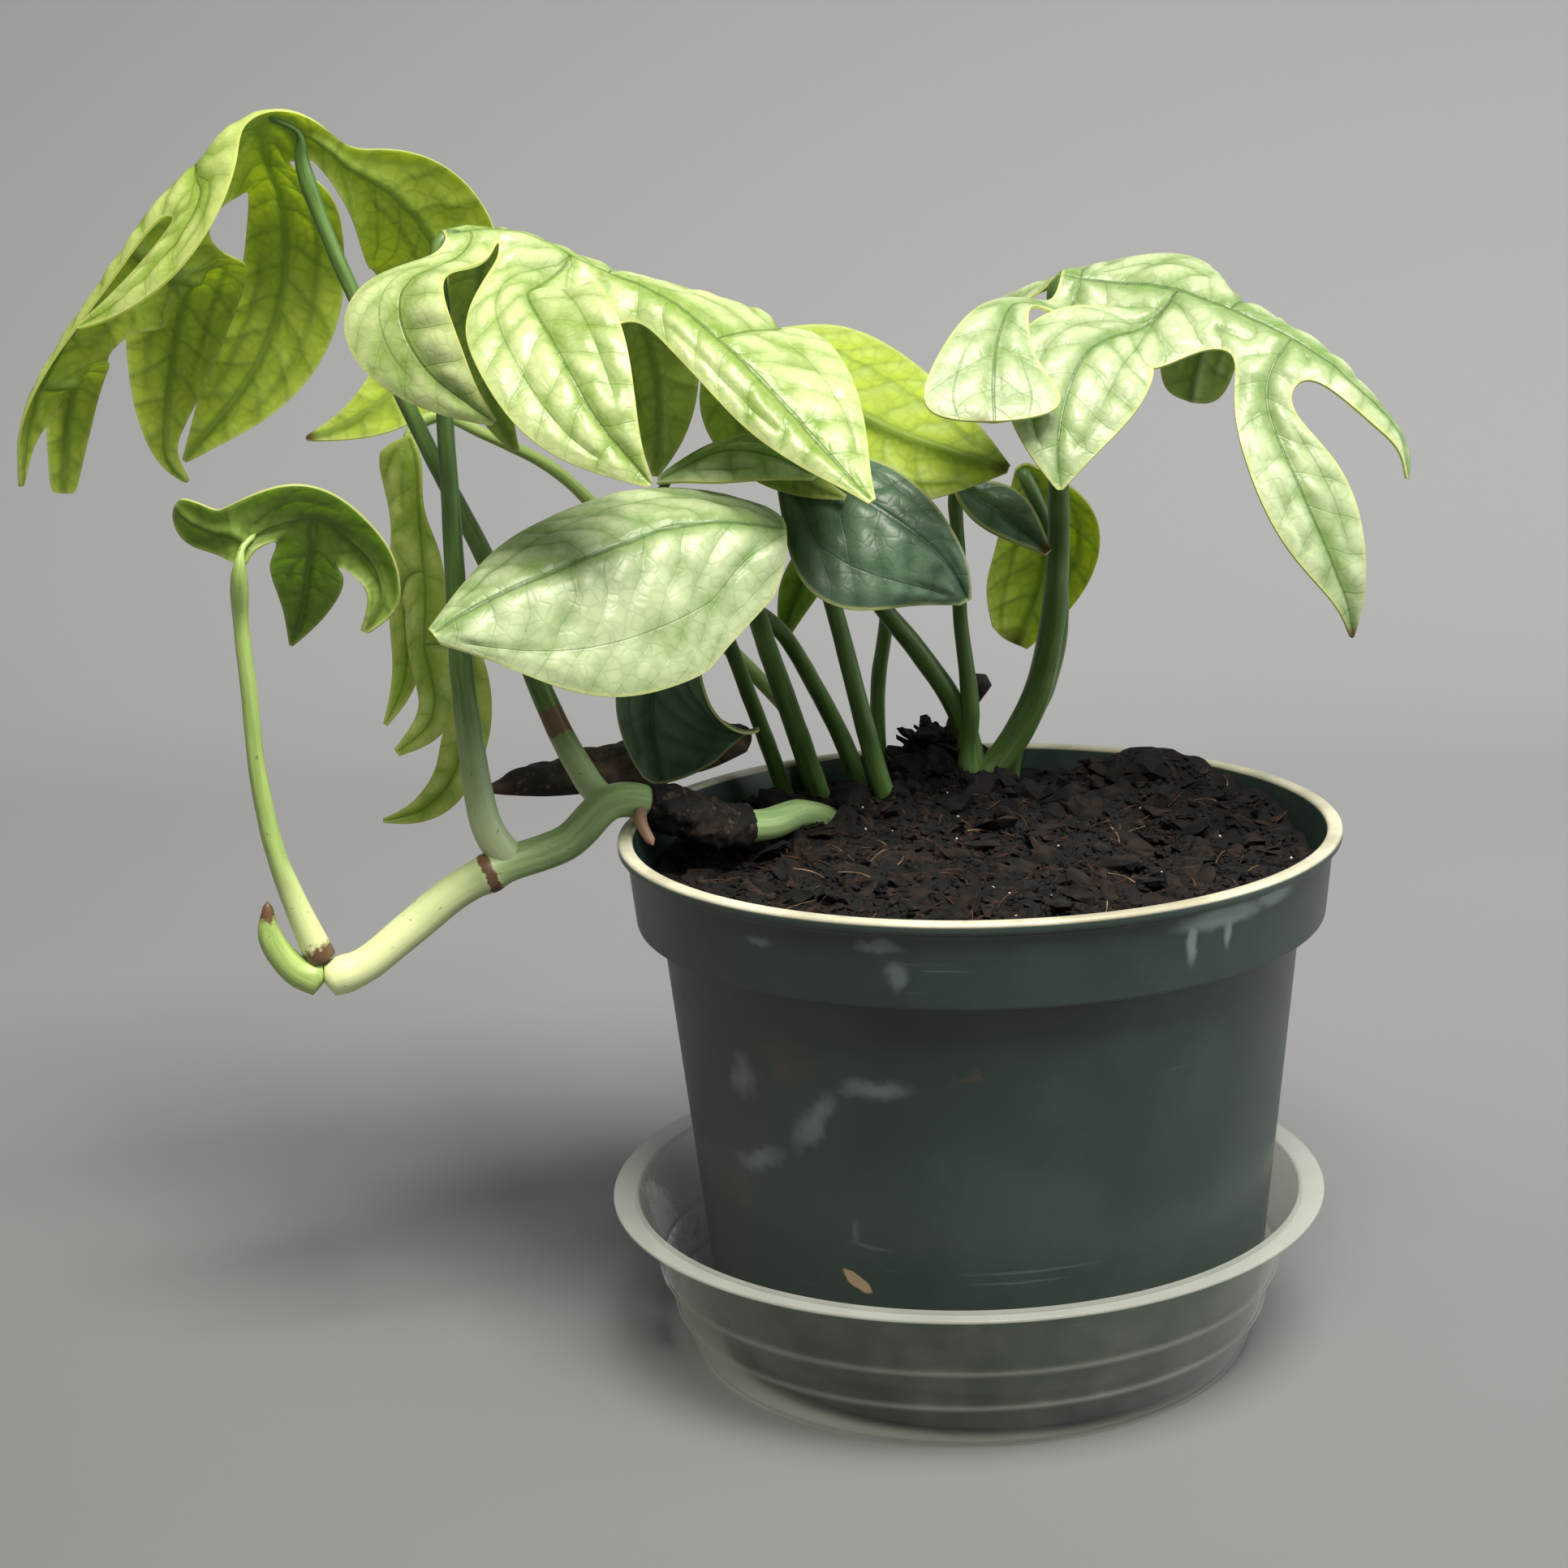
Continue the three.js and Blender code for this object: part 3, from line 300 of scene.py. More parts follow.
def open_edges(faces: list) -> list[tuple[int, int]]:
    """The edges that only one face has, in that face's order."""
    edges = {}
    for face in faces:
        for p, q in zip(face, face[1:] + face[:1]):
            if edges.pop((q, p), None) is None:
                edges[(p, q)] = True
    return list(edges)


@dataclass
class Sheet:
    """The coarse sheet of a leaf: corners, four-sided faces, and vein coordinates of each face's corners.

    The coordinates are how far along the rib, how far across it, the half width there, and how far
    from the midrib, all in millimetres.
    """

    columns: tuple[float, ...] = (0.18, 0.55, 1.0)
    step: float = 7.5
    narrow: float = 5.0
    strength: float = 0.35
    passes: int = 2
    inner_passes: int = 4
    far_off: float = 99.0  # a lobe's distance from the midrib, for the pattern
    points: list[np.ndarray] = field(default_factory=list)
    fixed: set[int] = field(default_factory=set)
    faces: list[tuple[int, int, int, int]] = field(default_factory=list)
    veins: list[list[tuple[float, float, float, float]]] = field(default_factory=list)

    def corner(self, point: np.ndarray, fixed: bool) -> int:
        """Adds a corner and gives its number."""
        self.points.append(point)
        if fixed:
            self.fixed.add(len(self.points) - 1)
        return len(self.points) - 1

    def fill(self, rows: list[list[int]], veins: object, flip: bool) -> None:
        """Fills the space between rows of corners with faces.

        Args:
            rows: the corners' numbers, row by row.
            veins: a function of row, column and the face's first row and column, for the coordinates.
            flip: whether the faces run the other way round.
        """
        for k in range(len(rows) - 1):
            for m in range(len(rows[k]) - 1):
                places = [(k, m), (k, m + 1), (k + 1, m + 1), (k + 1, m)]
                if flip:
                    places = [places[0], places[3], places[2], places[1]]
                self.faces.append(tuple(rows[i][j] for i, j in places))
                self.veins.append([veins(i, j, k, m) for i, j in places])

    def relax(self, passes: int, fixed: set[int]) -> None:
        """Evens out the corners that aren't fixed.

        Args:
            passes: how often.
            fixed: the corners that stay.
        """
        border = open_edges(self.faces)
        rim = {k for edge in border for k in edge}
        near: list[set[int]] = [set() for _ in self.points]
        for p, q in border:
            near[p].add(q)
            near[q].add(p)
        for a, b, c, d in self.faces:
            for p, q in ((a, b), (b, c), (c, a), (c, d), (d, a)):
                if p not in rim:
                    near[p].add(q)
                if q not in rim:
                    near[q].add(p)
        for _ in range(passes):
            self.points = [
                point
                if k in fixed
                else point + self.strength * (np.mean([self.points[q] for q in near[k]], axis=0) - point)
                for k, point in enumerate(self.points)
            ]


def across(half: float, share: float, fold: float, curl: float) -> tuple[float, float]:
    """Where a point of the blade lies beside its rib.

    Args:
        half: the half width.
        share: how far out, as a share of it.
        fold: degrees up from flat, at the rib.
        curl: degrees that it turns up to its edge.

    Returns:
        How far out and how far up it is.
    """
    start, bend = math.radians(fold), math.radians(curl)
    if abs(bend) < 1e-3:
        return half * share * math.cos(start), half * share * math.sin(start)
    end, turn = start + bend * share, half / bend
    return turn * (math.sin(end) - math.sin(start)), turn * (math.cos(start) - math.cos(end))


class LeafSheet(Sheet):
    """The coarse sheet of one leaf, made by the same rule as the leaf's solid."""

    def __init__(self, leaf: Leaf) -> None:
        """Lays out the web, its lobes and their vein coordinates.

        Args:
            leaf: the leaf's description.
        """
        super().__init__()
        self.leaf = leaf
        curve = Curve(leaf.rib)
        self.steps = leaf.steps or max(6, round_half_up(curve.length / self.step))
        self.length = curve.length
        self.rows: list[list[int]] = []
        self.edge_ways: dict[Side, list[np.ndarray]] = {Side.LEFT: [], Side.RIGHT: []}
        self.widths: dict[Side, list[float]] = {Side.LEFT: [], Side.RIGHT: []}
        for i in range(self.steps + 1):
            self.add_row(curve, i / self.steps)
        spans = []
        for lobe in leaf.lobes:
            first, last = self.span(lobe)
            spans.append((lobe, first, last, self.root_half(lobe.side, first, last)))
        shares = [-s for s in reversed(self.columns)] + [0.0, *self.columns]

        def web_veins(i: int, j: int, k: int, m: int) -> tuple[float, float, float, float]:
            side = Side.LEFT if m < len(self.columns) else Side.RIGHT
            width, share = self.widths[side][i], shares[j]
            out = abs(share) * width
            for lobe, first, last, half in spans:
                if lobe.side == side and first <= k < last:
                    place = 2 * (i - first) / (last - first) - 1
                    return out - width, place * half, half, out
            return self.length * i / self.steps, share * width, width, out

        self.fill(self.rows, web_veins, False)
        for span in spans:
            self.add_lobe(*span)
        self.relax(self.passes, self.fixed)
        self.relax(self.inner_passes, self.fixed | {k for edge in open_edges(self.faces) for k in edge})

    def span(self, lobe: Lobe) -> tuple[int, int]:
        """The first and last row of a lobe's root."""
        first = round_half_up(lobe.start * self.steps)
        return first, max(first + 1, round_half_up(lobe.end * self.steps))

    def edge(self, side: Side, i: int) -> int:
        """The corner at the web's edge."""
        return self.rows[i][0 if side == Side.LEFT else -1]

    def root_half(self, side: Side, first: int, last: int) -> float:
        """Half the distance between the ends of a lobe's root."""
        ends = self.points[self.edge(side, first)] - self.points[self.edge(side, last)]
        return float(np.linalg.norm(ends)) / 2

    def add_row(self, curve: Curve, t: float) -> None:
        """Adds one row of corners across the web, at a share of the midrib."""
        leaf = self.leaf
        centre, right, up = curve.frame(leaf.face, t)
        middle = self.corner(centre, True)
        parts: dict[Side, list[int]] = {}
        for side, half in ((Side.LEFT, leaf.left), (Side.RIGHT, leaf.right)):
            sign = side.value
            width = max(along(half.width, t), 0.6)
            fold, curl = along(half.fold, t), along(half.curl, t)
            parts[side] = []
            for share in self.columns:
                out, lift = across(width, share, fold, curl)
                wave = leaf.wave * share * share * math.sin(6 * math.pi * t + sign) * min(1, width / 10)
                point = centre + right * (sign * out) + up * (lift + wave)
                parts[side].append(self.corner(point, width < self.narrow))
            angle = math.radians(fold + curl)
            self.edge_ways[side].append(right * (sign * math.cos(angle)) + up * math.sin(angle))
            self.widths[side].append(width)
        self.rows.append([*reversed(parts[Side.LEFT]), middle, *parts[Side.RIGHT]])

    def add_lobe(self, lobe: Lobe, first: int, last: int, root_half: float) -> None:
        """Adds a lobe to the web's edge.

        Args:
            lobe: its description.
            first: the first row of its root.
            last: the last row of its root.
            root_half: half its root's length.
        """
        sign = lobe.side.value
        root = [self.edge(lobe.side, i) for i in range(first, last + 1)]
        corners = [self.points[k] for k in root]
        curve = Curve([tuple((corners[0] + corners[-1]) / 2), *lobe.rib])
        steps = max(4, round_half_up(curve.length / self.step))
        places = [2 * m / (len(root) - 1) - 1 for m in range(len(root))]
        rows, halves = [root], [[root_half] * len(root)]
        for k in range(1, steps + 1):
            t = k / steps
            centre, right, up = curve.frame(lobe.face, t)
            blend = smooth(t / lobe.blend)
            row, widths = [], []
            for m, place in enumerate(places):
                full = max(along(lobe.near if place < 0 else lobe.far, t), 0.5)
                half = root_half + (full - root_half) * blend
                out, lift = across(half, abs(place), 0, 0)
                placed = centre + right * (-sign * np.sign(place) * out) + up * lift
                straight = corners[m] + self.edge_ways[lobe.side][first + m] * (t * curve.length)
                row.append(self.corner(straight + (placed - straight) * blend, half < self.narrow))
                widths.append(half)
            rows.append(row)
            halves.append(widths)

        def lobe_veins(i: int, j: int, _k: int, _m: int) -> tuple[float, float, float, float]:
            width = halves[i][j]
            return curve.length * i / steps, places[j] * width, width, self.far_off

        self.fill(rows, lobe_veins, sign > 0)


def round_half_up(x: float) -> int:
    """The nearest whole number, with halves going up."""
    return math.floor(x + 0.5)


@dataclass(frozen=True)
class VeinPattern:
    """How the veins of a blade lie, in millimetres."""

    spacing: float = 9.5  # between the cross veins
    lean: float = 0.55  # how far a cross vein runs ahead as it goes out
    bend: float = 0.012
    lateral: float = 0.56  # where the long side vein runs, as a share of the half width
    lateral_from: float = 9.0  # a half narrower than this has none
    offset: float = 0.42  # between the cross veins of the two sides

    def read(self, veins: np.ndarray, warp: np.ndarray) -> tuple[np.ndarray, np.ndarray, np.ndarray]:
        """Measures how far points lie from the veins.

        Args:
            veins: vein coordinates, one row a point.
            warp: how far the cross veins are bent there.

        Returns:
            The distance to a rib, the distance to a side vein, and the turn of the cross veins.
        """
        s, v, width, rib = veins.T
        out = np.abs(v)
        main = np.minimum(out, rib)
        start = np.clip((s + 6) / 28, 0, 1)
        path = self.lateral * start * start * (3 - 2 * start)
        lateral = np.where(width > self.lateral_from, np.abs(out - path * width), self.lateral_from)
        turn = (s - self.lean * out - self.bend * out * out + warp) / self.spacing + self.offset * (v > 0)
        return main, lateral, turn


PATTERN = VeinPattern()


def new_object(name: str, mesh: bpy.types.Mesh) -> bpy.types.Object:
    """Links a new object that holds a mesh."""
    piece = bpy.data.objects.new(name, mesh)
    bpy.context.scene.collection.objects.link(piece)
    return piece


def mesh_from(name: str, points: np.ndarray, faces: list) -> bpy.types.Mesh:
    """Makes a mesh that is shaded smooth.

    Args:
        name: its name.
        points: the corners, in millimetres.
        faces: the corners' numbers of each face.

    Returns:
        The mesh, in metres.
    """
    mesh = bpy.data.meshes.new(name)
    mesh.from_pydata((np.asarray(points) * MM).tolist(), [], faces)
    mesh.polygons.foreach_set("use_smooth", [True] * len(mesh.polygons))
    mesh.update()
    return mesh


def store(mesh: bpy.types.Mesh, name: str, values: np.ndarray) -> None:
    """Stores a number for each corner of a mesh, for its material to read."""
    mesh.attributes.new(name, "FLOAT", "POINT").data.foreach_set("value", np.asarray(values, np.float32))


def store_uv(mesh: bpy.types.Mesh, name: str, values: np.ndarray) -> None:
    """Stores two numbers for each face corner of a mesh, as a UV map."""
    mesh.uv_layers.new(name=name).data.foreach_set("uv", np.asarray(values, np.float32).ravel())


def hashed_noise(points: np.ndarray, size: float, seed: float = 0.0) -> np.ndarray:
    """Smooth noise at points in millimetres, from about -1 to 1, with lumps of the given size."""
    return np.array([noise.noise(Vector(p)) for p in points / size + seed])


class Blade:
    """The fine closed blade of one leaf."""

    LEVELS = 3  # how often the coarse sheet is divided
    HALF = 0.3  # half the thickness
    BULGE = 1.3  # how far a cell stands above the veins
    KEEL = 0.9  # how far the midrib stands out below
    FREE = 3.0  # how far from the edge the relief fades
    UV_SCALE = 0.01  # the UV maps hold hundreds of millimetres

    def __init__(self, leaf: Leaf) -> None:
        """Makes the blade's mesh.

        Args:
            leaf: the leaf's description.
        """
        self.leaf = leaf
        self.coarse = LeafSheet(leaf)
        self.mesh = self.thicken(*self.divide())

    def divide(self) -> tuple[np.ndarray, np.ndarray, np.ndarray]:
        """Divides the coarse sheet.

        Returns:
            The corners, the faces and the vein coordinates of each face's corners.
        """
        mesh = mesh_from("coarse", np.array(self.coarse.points), self.coarse.faces)
        veins = np.array(self.coarse.veins).reshape(-1, 4) * self.UV_SCALE
        store_uv(mesh, "along", veins[:, :2])
        store_uv(mesh, "size", veins[:, 2:])
        piece = new_object("coarse", mesh)
        modifier = piece.modifiers.new("divide", "SUBSURF")
        modifier.levels = modifier.render_levels = self.LEVELS
        modifier.uv_smooth = "NONE"
        blunt = any(lobe.near[-1] > 1 for lobe in self.leaf.lobes)
        modifier.boundary_smooth = "ALL" if blunt else "PRESERVE_CORNERS"
        graph = bpy.context.evaluated_depsgraph_get()
        fine = bpy.data.meshes.new_from_object(piece.evaluated_get(graph))
        points = np.empty(len(fine.vertices) * 3, np.float32)
        fine.vertices.foreach_get("co", points)
        faces = np.empty(len(fine.loops), np.int32)
        fine.loops.foreach_get("vertex_index", faces)
        read = []
        for name in ("along", "size"):
            values = np.empty(len(fine.loops) * 2, np.float32)
            fine.uv_layers[name].data.foreach_get("uv", values)
            read.append(values.reshape(-1, 2) / self.UV_SCALE)
        bpy.data.objects.remove(piece)
        bpy.data.meshes.remove(mesh)
        bpy.data.meshes.remove(fine)
        return points.reshape(-1, 3) / MM, faces.reshape(-1, 4), np.concatenate(read, 1)

    @staticmethod
    def normals(points: np.ndarray, faces: np.ndarray) -> np.ndarray:
        """The way up at each corner of a sheet."""
        a, b, c, d = (points[faces[:, k]] for k in range(4))
        face_normals = np.cross(c - a, d - b)
        total = np.zeros_like(points)
        for k in range(4):
            np.add.at(total, faces[:, k], face_normals)
        return total / np.maximum(np.linalg.norm(total, axis=1, keepdims=True), 1e-9)

    @staticmethod
    def even(values: np.ndarray, faces: np.ndarray, count: int) -> np.ndarray:
        """Brings numbers of face corners to the corners, and evens them out.

        Args:
            values: one number for each face corner.
            faces: the faces.
            count: how many corners the sheet has.

        Returns:
            One number for each corner.
        """
        uses = np.bincount(faces.ravel(), minlength=count)
        means = (np.bincount(faces.ravel(), values, count) / uses)[faces].mean(1)
        return np.bincount(faces.ravel(), np.repeat(means, 4), count) / uses

    def thicken(self, points: np.ndarray, faces: np.ndarray, veins: np.ndarray) -> bpy.types.Mesh:
        """Gives the sheet its relief and its thickness.

        Args:
            points: the corners.
            faces: the faces.
            veins: the vein coordinates of each face corner.

        Returns:
            The closed mesh: the upper faces first, then the under faces, then the rim.
        """
        leaf, count = self.leaf, len(points)
        normals = self.normals(points, faces)
        warp = 2.4 * hashed_noise(points, 13.0, 3.1) + 0.9 * hashed_noise(points, 5.0, 7.7)
        main, lateral, turn = PATTERN.read(veins, warp[faces.ravel()])
        uneven = np.clip(0.75 + 0.6 * hashed_noise(points, 11.0, 6.1), 0.25, 1.3)[faces.ravel()]
        bulge = np.abs(np.cos(math.pi * turn)) ** 0.6 * uneven
        cells = bulge * (1 - np.exp(-((main / 2.2) ** 2))) * (1 - 0.6 * np.exp(-((lateral / 1.3) ** 2)))
        groove = 0.5 * np.exp(-((main / 0.9) ** 2)) + 0.25 * np.exp(-((lateral / 0.8) ** 2))
        relief = self.even(self.BULGE * leaf.quilt * cells - groove, faces, count)
        cell = self.even(cells, faces, count)
        keel = self.even(np.exp(-((main / 1.1) ** 2)) * np.clip(veins[:, 2] / 14, 0.15, 1), faces, count)
        edges = open_edges(faces.tolist())
        edge = self.distances(points, points[np.unique(edges)])
        free = np.clip(edge / self.FREE, 0, 1)
        rumple = 0.45 * hashed_noise(points, 9.0, 1.3) + 0.2 * hashed_noise(points, 3.2, 4.4)
        relief = (relief + rumple) * free
        if leaf.crumple:
            relief = relief + leaf.crumple * (hashed_noise(points, 8.0, 5.5) + 0.5 * hashed_noise(points, 3.4))
        middle = points + normals * relief[:, None]
        upper = middle + normals * self.HALF
        under = middle - normals * (self.HALF + self.KEEL * keel)[:, None]
        top, bottom = faces, faces[:, ::-1] + count
        rim = np.array([(q, p, p + count, q + count) for p, q in edges])
        mesh = mesh_from(leaf.name, np.concatenate([upper, under]), np.concatenate([top, bottom, rim]).tolist())
        by_corner = veins.reshape(-1, 4, 4)
        self.spread(mesh, by_corner, faces, edges)
        for name, values in (("cell", cell), ("edge", edge), ("warp", warp), ("scorch", self.scorched(points))):
            store(mesh, name, np.tile(values, 2))
        sides = np.repeat([0, 1, 2], [len(top), len(bottom), len(rim)])
        mesh.polygons.foreach_set("material_index", sides.astype(np.int32))
        sharp = mesh.attributes.new("sharp_edge", "BOOLEAN", "EDGE")
        ends = np.empty(len(mesh.edges) * 2, np.int32)
        mesh.edges.foreach_get("vertices", ends)
        pairs = {frozenset(e) for e in edges} | {frozenset((p + count, q + count)) for p, q in edges}
        sharp.data.foreach_set("value", [frozenset(e) in pairs for e in ends.reshape(-1, 2).tolist()])
        return mesh

    def spread(self, mesh: bpy.types.Mesh, veins: np.ndarray, faces: np.ndarray, edges: list) -> None:
        """Stores the vein coordinates on every face of the closed blade."""
        at = {}
        for face, corners in zip(faces.tolist(), veins):
            for k, corner in zip(face, corners):
                at[k] = corner
        rim = np.array([[at[q], at[p], at[p], at[q]] for p, q in edges])
        every = np.concatenate([veins, veins[:, ::-1], rim]).reshape(-1, 4) * self.UV_SCALE
        store_uv(mesh, "along", every[:, :2])
        store_uv(mesh, "size", every[:, 2:])

    @staticmethod
    def distances(points: np.ndarray, targets: np.ndarray) -> np.ndarray:
        """How far each point is from the nearest target."""
        tree = KDTree(len(targets))
        for k, target in enumerate(targets):
            tree.insert(target, k)
        tree.balance()
        return np.array([tree.find(p)[2] for p in points])

    def scorched(self, points: np.ndarray) -> np.ndarray:
        """How brown the blade is at each point, from 0 to 1."""
        total = np.zeros(len(points))
        for x, y, z, radius in self.leaf.scorch:
            away = np.linalg.norm(points - (x, y, z), axis=1) / radius
            total = np.maximum(total, np.clip(1.5 - away, 0, 1))
        return total


@dataclass(frozen=True)
class VeinLines:
    """The sockets that say where veins run, each from 0 to 1."""

    main: bpy.types.NodeSocket
    lateral: bpy.types.NodeSocket
    cross: bpy.types.NodeSocket


def draw_veins(tree: bpy.types.NodeTree, soft: float) -> VeinLines:
    """Draws the vein pattern in a material.

    Args:
        tree: the material's node tree.
        soft: how much wider and softer the lines are than on the upper face, from 0.

    Returns:
        The lines' sockets.
    """
    read = []
    for name in ("along", "size"):
        both = add(tree, "ShaderNodeUVMap", uv_map=name)
        read += add(tree, PARTS, both).node.outputs[:2]
    s, v, width, rib = (add(tree, TIMES, socket, 1 / Blade.UV_SCALE) for socket in read)
    out = add(tree, SIZE, v)
    main = add(tree, LEAST, out, rib)
    half = add(tree, TIMES_PLUS, width, 0.008, 0.06)
    full = add(tree, PLUS, half, 0.34 + 1.2 * soft)
    main = add(tree, STEP, main, half, full, 1.0, 0.0)
    path = add(tree, STEP, s, -6.0, 22.0, 0.0, PATTERN.lateral)
    path = add(tree, TIMES, path, width)
    lateral = add(tree, SIZE, add(tree, MINUS, out, path))
    lateral = add(tree, STEP, lateral, 0.05, 0.4 + 1.1 * soft, 1.0, 0.0)
    wide = add(tree, STEP, width, PATTERN.lateral_from - 1, PATTERN.lateral_from + 3)
    lateral = add(tree, TIMES, lateral, wide)
    reach = add(tree, TIMES_PLUS, out, PATTERN.bend, PATTERN.lean)
    reach = add(tree, TIMES, reach, out)
    turn = add(tree, MINUS, s, reach)
    turn = add(tree, PLUS, turn, held(tree, "warp"))
    turn = add(tree, MATH, turn, PATTERN.spacing, operation="DIVIDE")
    side = add(tree, MATH, v, 0.0, operation="GREATER_THAN")
    turn = add(tree, TIMES_PLUS, side, PATTERN.offset, turn)
    cross = add(tree, MATH, turn, operation="FRACT")
    cross = add(tree, SIZE, add(tree, MINUS, cross, 0.5))
    cross = add(tree, STEP, cross, 0.005, 0.035 + 0.11 * soft, 1.0, 0.0)
    return VeinLines(main, lateral, cross)


@dataclass(frozen=True)
class LeafFinish:
    """A living leaf: a waxy skin over cells that scatter light, so it shines softly and glows when backlit."""

    name: str
    green: str  # along the veins and between the lit cells
    silver: str  # on the crowns of the quilted cells
    vein: str
    under: str
    glow: str  # the light that comes through
    shade: str  # the light that comes through a vein
    rim: str = "#d9dd8f"
    roughness: float = 0.36
    through: float = 0.36
    SCORCHED: ClassVar[str] = "#5a3a1e"

    def upper(self) -> bpy.types.Material:
        """The material of the upper face."""
        material, tree = new_material(self.name + "_upper")
        lines = draw_veins(tree, 0.0)
        place = add(tree, PLACE)
        mottle = add(tree, NOISE, place, 95.0, 4.0)
        speckle = add(tree, NOISE, place, 420.0, 2.0)
        net = add(tree, STEP, add(tree, NET, place, 330.0), 0.02, 0.16, 1.0, 0.0)
        crown = add(tree, TIMES, held(tree, "cell"), 0.75)
        crown = add(tree, STEP, add(tree, PLUS, crown, mottle), 0.4, 1.1)
        colour = add(tree, MIX, crown, self.green, self.silver)
        grain = add(tree, STEP, speckle, 0.3, 0.75, 0.0, 0.22)
        colour = add(tree, MIX, grain, colour, self.silver)
        fine = add(tree, TIMES, lines.cross, 0.2)
        fine = add(tree, TIMES_PLUS, net, 0.13, fine)
        bold = add(tree, TIMES, lines.lateral, 0.32)
        bold = add(tree, TIMES_PLUS, lines.main, 0.6, bold)
        veins = add(tree, PLUS, bold, fine, use_clamp=True)
        colour = add(tree, MIX, veins, colour, self.vein)
        colour = self.edged(tree, colour)
        height = add(tree, TIMES, veins, -0.7)
        height = add(tree, TIMES_PLUS, speckle, 0.25, height)
        glow = add(tree, MIX, 0.5, colour, self.glow)
        self.surface(tree, colour, glow, add(tree, BUMP, 0.5, 0.0006, height), self.roughness)
        return material

    def lower(self) -> bpy.types.Material:
        """The material of the under face, whose veins stand out and hold back the light."""
        material, tree = new_material(self.name + "_under")
        lines = draw_veins(tree, 1.0)
        place = add(tree, PLACE)
        mottle = add(tree, NOISE, place, 120.0, 4.0)
        net = add(tree, STEP, add(tree, NET, place, 260.0), 0.02, 0.2, 0.3, 0.0)
        bands = add(tree, TIMES, lines.lateral, 0.55)
        bands = add(tree, TIMES_PLUS, lines.cross, 0.42, bands)
        bands = add(tree, TIMES_PLUS, lines.main, 0.9, bands)
        bands = add(tree, PLUS, bands, net, use_clamp=True)
        light = add(tree, TIMES_PLUS, held(tree, "cell"), 0.5, mottle)
        light = add(tree, STEP, light, 0.3, 1.0)
        dark = add(tree, MIX, light, self.shade, self.glow)
        dark = add(tree, MIX, 0.55, dark, self.glow)
        glow = add(tree, MIX, bands, dark, self.shade)
        skin = add(tree, MIX, bands, self.under, self.vein)
        skin = self.edged(tree, add(tree, MIX, 0.45, self.under, skin))
        self.surface(tree, skin, glow, add(tree, BUMP, 0.4, 0.0004, bands), 0.5)
        return material

    def rim_material(self) -> bpy.types.Material:
        """The material of the pale, thin margin."""
        material, tree = new_material(self.name + "_margin")
        self.surface(tree, self.rim, self.glow, None, 0.45)
        return material

    def edged(self, tree: bpy.types.NodeTree, colour: object) -> bpy.types.NodeSocket:
        """Adds the pale margin and the brown, dry spots to a colour."""
        pale = add(tree, STEP, held(tree, "edge"), 0.35, 1.1, 0.55, 0.0)
        colour = add(tree, MIX, pale, colour, self.rim)
        return add(tree, MIX, held(tree, "scorch"), colour, self.SCORCHED)

    def surface(self, tree: bpy.types.NodeTree, colour: object, glow: object, bump: object, roughness: float) -> None:
        """Joins what the skin reflects to what comes through."""
        inputs = {"Base Color": colour, "Roughness": roughness, "Normal": bump, "Specular IOR Level": 0.45}
        skin = add(tree, "ShaderNodeBsdfPrincipled", inputs)
        through = add(tree, "ShaderNodeBsdfTranslucent", {"Color": glow, "Normal": bump})
        both = add(tree, "ShaderNodeMixShader", self.through, skin, through)
        add(tree, "ShaderNodeOutputMaterial", {"Surface": both})

    def dress(self, mesh: bpy.types.Mesh) -> None:
        """Gives a blade its three materials."""
        for material in (self.upper(), self.lower(), self.rim_material()):
            mesh.materials.append(material)


@dataclass(frozen=True)
class DryFinish:
    """Dead leaf and sheath: thin, papery and nearly black-brown, matt, with lighter veins and frayed tan edges."""

    name: str
    dark: str = "#241d19"
    light: str = "#5b4a3f"
    edge: str = "#7a6450"
    roughness: float = 0.78

    def material(self) -> bpy.types.Material:
        """The material."""
        material, tree = new_material(self.name)
        place = add(tree, PLACE)
        patches = add(tree, NOISE, place, 90.0, 6.0, 0.65)
        fibres = add(tree, NOISE, place, 600.0, 3.0)
        colour = add(tree, MIX, add(tree, STEP, patches, 0.42, 0.72), self.dark, self.light)
        frayed = add(tree, STEP, fibres, 0.55, 0.75, 0.0, 0.5)
        colour = add(tree, MIX, frayed, colour, self.edge)
        height = add(tree, TIMES_PLUS, fibres, 0.5, patches)
        coat(tree, colour, self.roughness, add(tree, BUMP, 0.7, 0.0006, height), {"Specular IOR Level": 0.25})
        return material

    def dress(self, mesh: bpy.types.Mesh) -> None:
        """Gives a mesh the material, on every face."""
        mesh.materials.append(self.material())
        mesh.polygons.foreach_set("material_index", [0] * len(mesh.polygons))


